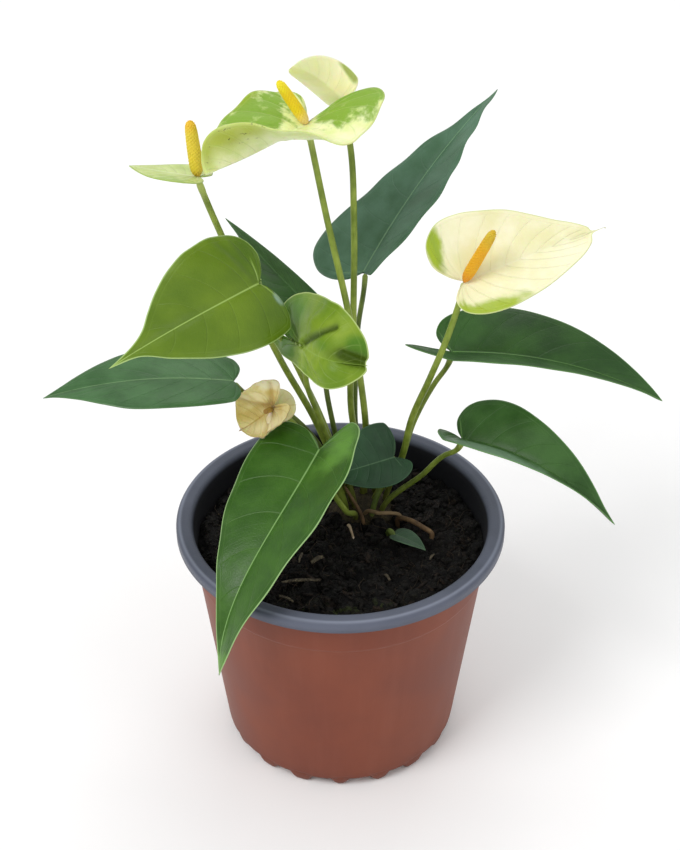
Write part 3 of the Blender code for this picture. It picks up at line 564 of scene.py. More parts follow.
# Stalks: a tube along a course, with a swollen knee under the blade and a wider foot
def makeStalkTree():
    tree, given, result = newGroup(
        "stalkTube", "GeometryNodeTree",
        [
            ("Geometry", "Geometry", None), ("Radius", "Float", 0.0012), ("Taper", "Float", 0.15),
            ("Knee", "Float", 0.35), ("Knee start", "Float", 0.9), ("Foot", "Float", 0.5),
            ("Foot end", "Float", 0.12), ("Sides", "Int", 14), ("Finish", "Material", None),
        ],
        [("Geometry", "Geometry")],
    )
    share = addNode(tree, "GeometryNodeInputNamedAttribute", {"Name": "stalkShare"}, data_type="FLOAT").outputs[0]
    slim = calc(tree, "SUBTRACT", 1.0, calc(tree, "MULTIPLY", share, given["Taper"]))
    kneeTop = calc(tree, "MULTIPLY", step(tree, share, given["Knee start"], 0.97), given["Knee"])
    footWide = calc(tree, "MULTIPLY", step(tree, share, given["Foot end"], 0.0), given["Foot"])
    tip = step(tree, share, 1.0, 0.985, 0.35, 1.0)
    swell = calc(tree, "ADD", slim, calc(tree, "ADD", kneeTop, footWide))
    width = calc(tree, "MULTIPLY", calc(tree, "MULTIPLY", swell, tip), given["Radius"])
    line = addNode(tree, "GeometryNodeMeshToCurve", {0: given["Geometry"]}).outputs[0]
    ring = addNode(tree, "GeometryNodeCurvePrimitiveCircle", {"Resolution": given["Sides"], "Radius": 1.0}).outputs[0]
    tube = addNode(tree, "GeometryNodeCurveToMesh", {"Curve": line, "Profile Curve": ring, "Scale": width, "Fill Caps": True})
    smooth = addNode(tree, "GeometryNodeSetShadeSmooth", {0: tube.outputs[0]}).outputs[0]
    real = addNode(tree, "GeometryNodeRealizeInstances", {0: smooth}).outputs[0]
    finished = addNode(tree, "GeometryNodeSetMaterial", {"Geometry": real, "Material": given["Finish"]}).outputs[0]
    tree.links.new(finished, result["Geometry"])
    return tree


def courseMesh(name, points):
    mesh = bpy.data.meshes.new(name)
    mesh.from_pydata(points, [(i, i + 1) for i in range(len(points) - 1)], [])
    lengths = [0.0]
    for a, b in zip(points, points[1:]):
        lengths.append(lengths[-1] + (b - a).length)
    share = mesh.attributes.new("stalkShare", "FLOAT", "POINT")
    share.data.foreach_set("value", [length / lengths[-1] for length in lengths])
    return mesh


def smoothRoute(route, straightEnd=False, pieces=9):
    spans = [(b - a).length for a, b in zip(route, route[1:])]
    slopes = [(b - a) / span for a, b, span in zip(route, route[1:], spans)]
    tangents = [slopes[0]]
    for index in range(1, len(slopes)):
        before, after = spans[index - 1], spans[index]
        tangents.append((slopes[index - 1] * after + slopes[index] * before) / (before + after))
    tangents.append(slopes[-1])
    if straightEnd:
        tangents[-2] = slopes[-1]
    points = [route[0]]
    for index, span in enumerate(spans):
        start, end = route[index], route[index + 1]
        leave, arrive = tangents[index] * span, tangents[index + 1] * span
        for number in range(1, pieces + 1):
            t = number / pieces
            points.append(
                start * (2 * t**3 - 3 * t**2 + 1) + leave * (t**3 - 2 * t**2 + t)
                + end * (3 * t**2 - 2 * t**3) + arrive * (t**3 - t**2)
            )
    return points


def inCrown(foot, level):
    return Vector((crown["centre"][0] + foot[0], crown["centre"][1] + foot[1], level))


def stalkCourse(blade, radius, low=False):
    junction, _, up = bladeFrame(blade, 0.0)
    foot = inCrown(blade["foot"], crown["footLevel"])
    rise = crown["lowStraight"] if low else crown["straight"]
    route = [foot, foot + Vector((0, 0, rise)), *[Vector(place) for place in blade["route"]]]
    arrival = (4 * (junction - route[-1]).normalized() + up * blade.get("lean", 1.0)).normalized()
    top = junction - up * (0.0005 + radius * 0.35 * sin(arrival.angle(up)))
    if not low:
        route.append(top - arrival * crown["arrival"])
    return smoothRoute([*route, top])


def stalkMaterial(name, look):
    material, tree, shader, spot = newMaterial(name, {"Specular IOR Level": 0.3, "Coat Weight": 0.06, "Coat Roughness": 0.35})
    share = addNode(tree, "ShaderNodeAttribute", attribute_name="stalkShare").outputs["Fac"]
    grain = useGroup(tree, grainGroup, {"Vector": spot, "Mottle scale": 110.0, "Grain scale": 1300.0})
    body = blend(tree, grain["Mottle"], colour(look["deep"]), colour(look["fresh"]))
    body = blend(tree, step(tree, share, look["footEnd"], 0.0), body, colour(look["foot"]))
    body = blend(tree, step(tree, share, 0.93, 0.99), body, colour(look["knee"]))
    lines = noiseTexture(tree, addNode(tree, "ShaderNodeMapping", {"Vector": spot, "Scale": (900, 900, 60)}).outputs[0], 1.0, 2.0)
    body = blend(tree, calc(tree, "MULTIPLY", step(tree, lines, 0.5, 0.7), 0.35), body, colour(look["line"]))
    flecks = useGroup(tree, speckGroup, {"Vector": spot, "Scale": 600.0, "Amount": look["flecks"]})
    body = blend(tree, calc(tree, "MULTIPLY", flecks["Specks"], 0.6), body, colour("#4A4A18"))
    tree.links.new(body, shader.inputs["Base Color"])
    tree.links.new(calc(tree, "MULTIPLY_ADD", grain["Mottle"], 0.15, look["roughness"]), shader.inputs["Roughness"])
    bump(tree, shader, calc(tree, "ADD", lines, calc(tree, "MULTIPLY", grain["Grain"], 0.5)), 0.00012)
    return material


stalkTree = makeStalkTree()
stalkLooks = {
    "leafStalk": dict(deep="#66782A", fresh="#8A9C40", foot="#4E4A1E", footEnd=0.38, knee="#A3B458",
                      line="#56651A", flecks=0.25, roughness=0.38),
    "bloomStalk": dict(deep="#6C8028", fresh="#96A846", foot="#565420", footEnd=0.22, knee="#B4C267",
                       line="#5F7220", flecks=0.2, roughness=0.36),
    "darkStalk": dict(deep="#4F6128", fresh="#72843C", foot="#463C1E", footEnd=0.35, knee="#88994C",
                      line="#3F4C18", flecks=0.3, roughness=0.4),
    "oldGrowth": dict(deep="#4E3A26", fresh="#7C6244", foot="#2E2218", footEnd=0.2, knee="#6E5638",
                      line="#332417", flecks=0.45, roughness=0.62),
    "paleRoot": dict(deep="#6E5A3E", fresh="#9C8462", foot="#5A4A2E", footEnd=0.3, knee="#7A6448",
                     line="#5C4832", flecks=0.4, roughness=0.6),
    "whiteBud": dict(deep="#7E6850", fresh="#BCA88C", foot="#7A5A40", footEnd=0.5, knee="#D2C0A8",
                     line="#A78C6C", flecks=0.3, roughness=0.5),
}
stalkFinishes = {name: stalkMaterial(name, look) for name, look in stalkLooks.items()}


def makeStalk(name, course, finish, slot, nodes, **sizes):
    values = {"Radius": 0.0012, "Finish": stalkFinishes[finish], **sizes}
    mesh = runTree(stalkTree, courseMesh(name, course), values)
    return newPiece(name, mesh, None, slot, *nodes)


# Leaves. Where each stands is the frame's own; look, form, patches and shades finish it.
leaves = {
    "frontLeaf": dict(
        node="front_leaf", stalk="leafStalk",
        junction=(-0.008, -0.008, 0.141), tip=(-0.045, -0.066, 0.080),
        halves=("oval", "frontLeft"), widths=(0.0235, 0.0235), lobes=(1.5, 0.6),
        roll=5, arch=0.16, droop=4, sway=0.025, folds=(22, 10), cups=(0, -10),
        foot=(-0.0026, -0.0088), route=((0.002, -0.003, 0.108), (-0.004, -0.008, 0.124)),
        form=dict(ripple=0.0004, ripples=4.0),
        look=dict(deep="#2B530E", fresh="#3B6617", underDeep="#5F8A48", underFresh="#7A9F5E",
                  vein="#6E9A44", rib="#8FB870", edge="#A4C884", veinStrength=0.16, roughness=0.4,
                  ribWidth=0.6, edgeWidth=0.5, patch="#5E8E34", veinWidth=0.4),
        veins=9, basals=((-0.10, 0.34), (-0.09, -0.44)),
        patches=((-0.06, 0.45, 0.2, 0.5, 0.7), (1.0, 0.0, 0.25, 0.5, 0.6)),
    ),
    "leftUpperLeaf": dict(
        node="left_upper_leaf", stalk="leafStalk", slot="young_leaf",
        junction=(-0.029, -0.002, 0.210), tip=(-0.078, -0.046, 0.202),
        halves=("upperLow", "upperTop"), widths=(0.021, 0.022), lobes=(0.4, 0.8),
        roll=-40, arch=0.06, droop=3, folds=(8, 8), cups=(-20, -20),
        foot=(-0.0042, -0.0010), route=((-0.006, 0.0195, 0.1325), (-0.0162, 0.009, 0.167)),
        # A crease from the junction to the rim, with a little painted shade along it
        form=dict(ripple=0.0003, creases=((0.0, 0.0, 0.07, -0.92, 0.0016, 0.0006, 0.3),),
                  dents=((-0.04, -0.55, 0.06, 0.3, -0.001),)),
        look=dict(deep="#56730C", fresh="#6A8618", underDeep="#7C9C44", underFresh="#93B05C",
                  vein="#86A43C", rib="#A6C468", edge="#B0CC80", veinStrength=0.12, coat=0.12,
                  coatRoughness=0.2, roughness=0.38, ribWidth=0.5, shade="#3E5E12", patch="#9DB8A8",
                  mottle=45.0),
        veins=8, basals=((-0.05, 0.5), (-0.05, -0.5)),
        shades=((-0.06, -0.62, 0.08, 0.42, 0.9), (-0.02, 0.62, 0.12, 0.5, 0.55), (0.45, -0.5, 0.2, 0.3, 0.35),
                (0.35, 0.75, 0.3, 0.2, 0.3), (0.12, -0.75, 0.10, 0.2, 0.35)),
        # Painted highlight: a pale blue-green sheen on the lobe's rim near the junction
        patches=((-0.045, 0.40, 0.03, 0.14, 1.0),),
    ),
    "leftLowerLeaf": dict(
        node="left_lower_leaf", stalk="darkStalk",
        junction=(-0.041, 0.012, 0.159), tip=(-0.113, 0.005, 0.156),
        halves=("long", "long"), widths=(0.018, 0.018), lobes=(0.5, 0.5),
        roll=0, arch=0.06, droop=2, folds=(5, 12), cups=(-20, -10),
        foot=(-0.0090, -0.0008), route=((-0.014, 0.018, 0.133), (-0.030, 0.015, 0.149)),
        veins=10,
        look=dict(deep="#315C2C", fresh="#457040", underDeep="#55805A", underFresh="#6C9470",
                  vein="#587F50", rib="#86A874", edge="#577E4C", veinStrength=0.14, coat=0.16,
                  coatRoughness=0.25, roughness=0.4, ribWidth=0.45, ribStrength=0.6, patch="#8FB0A4",
                  ragged=0.3, mottle=90.0),
        # Painted glints: a few faint pale blue-green spots of reflected light
        patches=((0.14, 0.40, 0.06, 0.18, 0.22),),
    ),
    "backLeaf": dict(
        node="back_leaf", stalk="darkStalk",
        junction=(-0.004, 0.030, 0.172), tip=(-0.045, 0.060, 0.204),
        halves=("heart", "oval"), widths=(0.018, 0.007), lobes=(1.0, 1.0),
        roll=0, arch=0.03, droop=2, sway=0.04, folds=(15, 15), cups=(-10, -10),
        foot=(-0.0042, 0.0084), route=((-0.003, 0.028, 0.128), (-0.006, 0.030, 0.148)),
        look=dict(deep="#27481A", fresh="#365C26", underDeep="#4A7048", underFresh="#5E855C",
                  vein="#466A3C", rib="#557A48", edge="#466E3C", veinStrength=0.15, ribStrength=0.4),
    ),
    "youngLeaf": dict(
        node="young_leaf", stalk="leafStalk", slot="young_leaf",
        junction=(-0.014, -0.012, 0.190), tip=(0.009, -0.032, 0.194),
        halves=("youngFar", "youngNear"), widths=(0.020, 0.0110), lobes=(3.5, 4.8),
        roll=68, arch=0.26, droop=4, folds=(5, 5), cups=(-30, -30),
        foot=(-0.0030, -0.0046), route=((-0.007, 0.013, 0.138), (-0.013, -0.001, 0.170)),
        form=dict(quilt=0.0002, lumps=0.0006, lumpSize=0.008, groove=0.0002, curl=0.0009, curlWidth=0.004,
                  # Creases: furrows and one ridge; painted shade lies along the furrows
                  creases=((0.02, 0.03, 0.66, 0.58, 0.0011, 0.0016, 1.0),
                           (0.80, 0.16, 1.0, 0.06, 0.0016, 0.0022, 1.0),
                           (-0.15, 0.10, -0.55, 0.45, 0.0012, 0.0010, 0.5),
                           (0.10, -0.04, 0.50, -0.38, 0.0012, -0.0008, 0.0)),
                  dents=((0.70, -0.45, 0.25, 0.35, 0.0012), (0.20, 0.55, 0.25, 0.2, 0.0010))),
        look=dict(deep="#648418", fresh="#869F30", underDeep="#7F9F40", underFresh="#9DBA5C",
                  vein="#A8C264", rib="#8FAE4A", edge="#C4D88C", veinStrength=0.16, coat=0.04,
                  coatRoughness=0.35, shine=0.2, ribWidth=0.5, ribStrength=0.4, shade="#3C5208", patch="#4E7A1C",
                  shadeStrength=0.95, ragged=0.5),
        # Painted shade, darkest in the hollow near the tip
        shades=((0.88, 0.13, 0.13, 0.15, 0.85), (0.70, 0.12, 0.12, 0.12, 0.4), (0.10, 0.28, 0.3, 0.14, 0.25)),
        veins=9, basals=((-0.3, 0.3), (0.30, -0.23)),
        patches=((-0.35, 0.5, 0.45, 0.45, 0.85), (-0.45, -0.4, 0.35, 0.5, 0.85), (0.55, 0.25, 0.25, 0.2, 0.5), (0.93, 0.30, 0.12, 0.25, 0.8)),
    ),
    "topRightLeaf": dict(
        node="top_right_leaf", stalk="darkStalk",
        junction=(0.009, 0.040, 0.191), tip=(0.061, 0.085, 0.247),
        halves=("arrow", "arrowRight"), widths=(0.0285, 0.021), lobes=(1.0, 0.4),
        roll=-15, arch=0.04, droop=2, folds=(20, 12), cups=(-10, -10),
        foot=(0.0018, 0.0092), route=((0.006, 0.035, 0.125), (0.006, 0.037, 0.144), (0.007, 0.039, 0.168)),
        form=dict(ripple=0.0004), lean=0.1, knee=0.08, veins=10,
        look=dict(deep="#385E40", fresh="#4E735A", underDeep="#3C6240", underFresh="#4E7452",
                  vein="#4C7252", rib="#7CA078", edge="#45704C", veinStrength=0.16, coat=0.2,
                  coatRoughness=0.35, roughness=0.42, ribWidth=0.5),
    ),
    "rightUpperLeaf": dict(
        node="right_upper_leaf", stalk="leafStalk",
        junction=(0.043, 0.020, 0.167), tip=(0.125, 0.015, 0.148),
        halves=("oval", "oval"), widths=(0.021, 0.011), lobes=(0.8, 2.2),
        roll=5, arch=0.08, droop=2, folds=(28, 22), cups=(-10, -10), lifts=(0.0, 0.35),
        foot=(0.0090, 0.0012), route=((0.025, 0.023, 0.115), (0.029, 0.022, 0.133), (0.037, 0.022, 0.152)),
        veins=10,
        look=dict(deep="#234818", fresh="#335C22", underDeep="#557C44", underFresh="#6C925A",
                  vein="#4A7434", rib="#6C9850", edge="#5C8846", veinStrength=0.16, ribWidth=0.5,
                  ribStrength=0.6),
    ),
    "rightLowerLeaf": dict(
        node="right_lower_leaf", stalk="leafStalk",
        junction=(0.047, 0.003, 0.138), tip=(0.103, -0.028, 0.121),
        halves=("slimTop", "slimLow"), widths=(0.021, 0.019), lobes=(0.8, 0.75),
        roll=5, arch=0.12, droop=2, folds=(28, 43), cups=(-10, -20), lifts=(0.0, 0.8),
        foot=(0.0074, -0.0050), route=((0.033, 0.012, 0.115), (0.041, 0.007, 0.128)),
        veins=9,
        look=dict(deep="#284C1A", fresh="#3A6228", underDeep="#5C8058", underFresh="#78986F",
                  vein="#4E783A", rib="#76A058", edge="#628E50", veinStrength=0.16, ribWidth=0.5,
                  ribStrength=0.65, patch="#5F7F60"),
        # Painted sheen: a grey-green sheen on the narrow lower half
        patches=((0.35, -0.75, 0.4, 0.4, 0.8),),
    ),
    "centreLeaf": dict(
        node="centre_leaf", stalk="darkStalk",
        junction=(0.021, 0.0105, 0.1243), tip=(-0.011, 0.0065, 0.1155),
        halves=("heart", "heart"), widths=(0.0105, 0.0150), lobes=(1.4, 0.5),
        roll=-55, arch=0.08, droop=2, folds=(5, 5), cups=(-10, -10), veins=11,
        foot=(0.0034, -0.0084), route=((0.016, 0.014, 0.107),),
        look=dict(deep="#24442A", fresh="#34583A", underDeep="#4C705A", underFresh="#62866E",
                  vein="#466C4C", rib="#6C9068", edge="#4A7050", veinStrength=0.16, ribWidth=0.45,
                  ribStrength=0.5),
    ),
    "soilLeaf": dict(
        node="soil_leaf", stalk="darkStalk",
        junction=(0.022, -0.004, 0.0967), tip=(0.0335, -0.0125, 0.0958),
        halves=("oval", "oval"), widths=(0.0045, 0.0045), lobes=(1.0, 1.0),
        roll=0, arch=0.06, droop=2, folds=(12, 12), cups=(0, 0), veins=9,
        foot=(0.0105, -0.0185), route=(),
        form=dict(quilt=0.00005, lumps=0.0001, ridge=0.0003),
        look=dict(deep="#2A4230", fresh="#3E5A42", underDeep="#556F55", underFresh="#6C866A",
                  vein="#4E6C4E", rib="#66825E", edge="#5A7858", veinStrength=0.2, veinWidth=0.2,
                  ribWidth=0.3, ribStrength=0.5, edgeWidth=0.25, inset=0.8),
    ),
}

for name, leaf in leaves.items():
    finish = [bladeMaterial(name + "Face", leaf["look"]), bladeMaterial(name + "Back", leaf["look"], True)]
    newPiece(name, bladeMesh(name, leaf), finish, leaf.get("slot", "leaf"), leaf["node"])
    low = name == "soilLeaf"
    course = stalkCourse(leaf, 0.0012, low)
    knee = 1 - 0.008 / sum((b - a).length for a, b in zip(course, course[1:]))
    makeStalk(name + "Stalk", course, leaf["stalk"], "stalk", [leaf["node"] + "_stalk"],
              **{"Knee": 0.1 if low else leaf.get("knee", 0.22), "Knee start": knee, "Foot": 0.2 if low else 0.6})
print("leaves:", len(leaves))


# Spadix: a core with florets set in the spiral that such a spike has
spadixForm = {"footRise": 14.0, "taper": 0.2, "tipPower": 12.0, "turnAngle": 2.399963, "floretSize": 0.00052}


def spadixProfile(share):
    body = (1 - exp(-spadixForm["footRise"] * share)) * (1 - spadixForm["taper"] * share)
    return body * max(1 - share ** spadixForm["tipPower"], 0.0) ** 0.5


def makeSpadixTree():
    tree, given, result = newGroup(
        "spadixFlorets", "GeometryNodeTree",
        [
            ("Geometry", "Geometry", None), ("Floret", "Object", None), ("Florets", "Int", 300),
            ("Radius", "Float", 0.0023), ("Length", "Float", 0.022), ("Turn", "Float", 2.399963),
            ("Size", "Float", 0.0005), ("Seed", "Int", 4), ("Finish", "Material", None),
        ],
        [("Geometry", "Geometry")],
    )
    line = addNode(tree, "GeometryNodeMeshLine", {"Count": given["Florets"]}).outputs[0]
    index = addNode(tree, "GeometryNodeInputIndex").outputs[0]
    share = calc(tree, "DIVIDE", calc(tree, "ADD", index, 0.5), given["Florets"])
    rise = calc(tree, "SUBTRACT", 1.0, calc(tree, "EXPONENT", calc(tree, "MULTIPLY", share, -spadixForm["footRise"])))
    slim = calc(tree, "SUBTRACT", 1.0, calc(tree, "MULTIPLY", share, spadixForm["taper"]))
    tip = calc(tree, "SQRT", calc(tree, "SUBTRACT", 1.0, calc(tree, "POWER", share, spadixForm["tipPower"])))
    body = calc(tree, "MULTIPLY", calc(tree, "MULTIPLY", rise, slim), tip)
    radius = calc(tree, "MULTIPLY", body, given["Radius"])
    angle = calc(tree, "MULTIPLY", index, given["Turn"])
    east = calc(tree, "MULTIPLY", radius, calc(tree, "COSINE", angle))
    north = calc(tree, "MULTIPLY", radius, calc(tree, "SINE", angle))
    height = calc(tree, "MULTIPLY", share, given["Length"])
    place = addNode(tree, "ShaderNodeCombineXYZ", {0: east, 1: north, 2: height}).outputs[0]
    points = addNode(tree, "GeometryNodeSetPosition", {"Geometry": line, "Position": place}).outputs[0]
    lean = step(tree, share, 0.86, 1.0, 0.0, 0.004)
    outward = addNode(tree, "ShaderNodeCombineXYZ", {0: east, 1: north, 2: lean}).outputs[0]
    facing = addNode(tree, "FunctionNodeAlignRotationToVector", {"Vector": outward}, axis="Z").outputs[0]
    random = addNode(tree, "FunctionNodeRandomValue", {2: 0.85, 3: 1.12, "Seed": given["Seed"]}, data_type="FLOAT").outputs[1]
    closing = step(tree, share, 1.0, 0.85, 0.6, 1.0)
    size = calc(tree, "MULTIPLY", calc(tree, "MULTIPLY", random, closing), given["Size"])
    floret = addNode(tree, "GeometryNodeObjectInfo", {"Object": given["Floret"]}).outputs["Geometry"]
    placed = addNode(tree, "GeometryNodeInstanceOnPoints", {"Points": points, "Instance": floret, "Rotation": facing, "Scale": size}).outputs[0]
    real = addNode(tree, "GeometryNodeRealizeInstances", {0: placed}).outputs[0]
    joined = addNode(tree, "GeometryNodeJoinGeometry")
    tree.links.new(given["Geometry"], joined.inputs[0])
    tree.links.new(real, joined.inputs[0])
    height = addNode(tree, "ShaderNodeSeparateXYZ", {0: addNode(tree, "GeometryNodeInputPosition").outputs[0]}).outputs[2]
    spadixShare = calc(tree, "DIVIDE", height, given["Length"])
    stored = addNode(tree, "GeometryNodeStoreNamedAttribute", {"Geometry": joined.outputs[0], "Name": "spadixShare", "Value": spadixShare}, data_type="FLOAT", domain="POINT").outputs[0]
    finished = addNode(tree, "GeometryNodeSetMaterial", {"Geometry": stored, "Material": given["Finish"]}).outputs[0]
    tree.links.new(finished, result["Geometry"])
    return tree


def floretObject():
    # A low four-lobed bump
    shell = bmesh.new()
    rings = ((1.15, -0.30), (0.98, 0.04), (0.62, 0.24), (0.22, 0.27))
    sides = 8
    corners = []
    for radius, height in rings:
        ring = []
        for number in range(sides):
            turn = 2 * pi * number / sides
            lobe = 1 + 0.10 * cos(4 * turn)
            ring.append(shell.verts.new((radius * lobe * cos(turn), radius * lobe * sin(turn), height)))
        corners.append(ring)
    for lower, upper in zip(corners, corners[1:]):
        for number in range(sides):
            after = (number + 1) % sides
            shell.faces.new((lower[number], lower[after], upper[after], upper[number]))
    peak = shell.verts.new((0, 0, 0.22))
    for number in range(sides):
        shell.faces.new((corners[-1][number], corners[-1][(number + 1) % sides], peak))
    shell.faces.new(list(reversed(corners[0])))
    mesh = bpy.data.meshes.new("floret")
    shell.to_mesh(mesh)
    shell.free()
    mesh.shade_smooth()
    item = bpy.data.objects.new("floret", mesh)
    bpy.context.scene.collection.objects.link(item)
    return item


def spadixCore(radius, length):
    rows, sides = 40, 24
    shell = bmesh.new()
    rings = []
    for row in range(1, rows):
        share = row / rows
        wide = radius * spadixProfile(share)
        rings.append([
            shell.verts.new((wide * cos(2 * pi * n / sides), wide * sin(2 * pi * n / sides), length * share))
            for n in range(sides)
        ])
    bottom, top = shell.verts.new((0, 0, 0)), shell.verts.new((0, 0, length * 0.997))
    for lower, upper in zip(rings, rings[1:]):
        for n in range(sides):
            shell.faces.new((lower[n], lower[(n + 1) % sides], upper[(n + 1) % sides], upper[n]))
    for n in range(sides):
        shell.faces.new((bottom, rings[0][(n + 1) % sides], rings[0][n]))
        shell.faces.new((top, rings[-1][n], rings[-1][(n + 1) % sides]))
    mesh = bpy.data.meshes.new("spadixCore")
    shell.to_mesh(mesh)
    shell.free()
    mesh.shade_smooth()
    return mesh


def spadixMaterial(name, look):
    material, tree, shader, spot = newMaterial(name, {"Subsurface Weight": 0.12, "Subsurface Scale": 0.0015, "Subsurface Radius": (1.0, 0.6, 0.2)})
    share = addNode(tree, "ShaderNodeAttribute", attribute_name="spadixShare").outputs["Fac"]
    grain = useGroup(tree, grainGroup, {"Vector": spot, "Mottle scale": 260.0, "Grain scale": 2600.0})
    body = blend(tree, step(tree, share, 0.02, look["baseEnd"]), colour(look["base"]), colour(look["middle"]))
    body = blend(tree, step(tree, share, look["tipStart"], 0.95), body, colour(look["tip"]))
    body = blend(tree, calc(tree, "MULTIPLY", grain["Mottle"], 0.3), body, colour(look["shade"]))
    tree.links.new(body, shader.inputs["Base Color"])
    tree.links.new(calc(tree, "MULTIPLY_ADD", grain["Grain"], 0.2, 0.42), shader.inputs["Roughness"])
    bump(tree, shader, grain["Grain"], 0.00006)
    return material


spadixTree = makeSpadixTree()
floret = floretObject()


def makeSpadix(name, bloom, node):
    base, _, up = bladeFrame(bloom, 0.0)
    base = base + up * 0.0001
    axis = Vector(bloom["spadixTip"]) - base
    radius, length = bloom["spadixRadius"] - 0.00012, axis.length - 0.0003
    size = spadixForm["floretSize"] * bloom.get("floretScale", 1.0)
    florets = int(2 * pi * radius * length * 0.86 / (1.85 * size) ** 2)
    values = {"Floret": floret, "Florets": florets, "Radius": radius, "Length": length,
              "Turn": spadixForm["turnAngle"], "Size": size, "Seed": 4,
              "Finish": spadixMaterial(name + "Finish", bloom["spadixLook"])}
    mesh = runTree(spadixTree, spadixCore(radius, length), values)
    turn = Vector((0, 0, 1)).rotation_difference(axis).to_matrix().to_4x4()
    mesh.transform(Matrix.Translation(base) @ turn)
    return newPiece(name, mesh, None, "spadix", node)


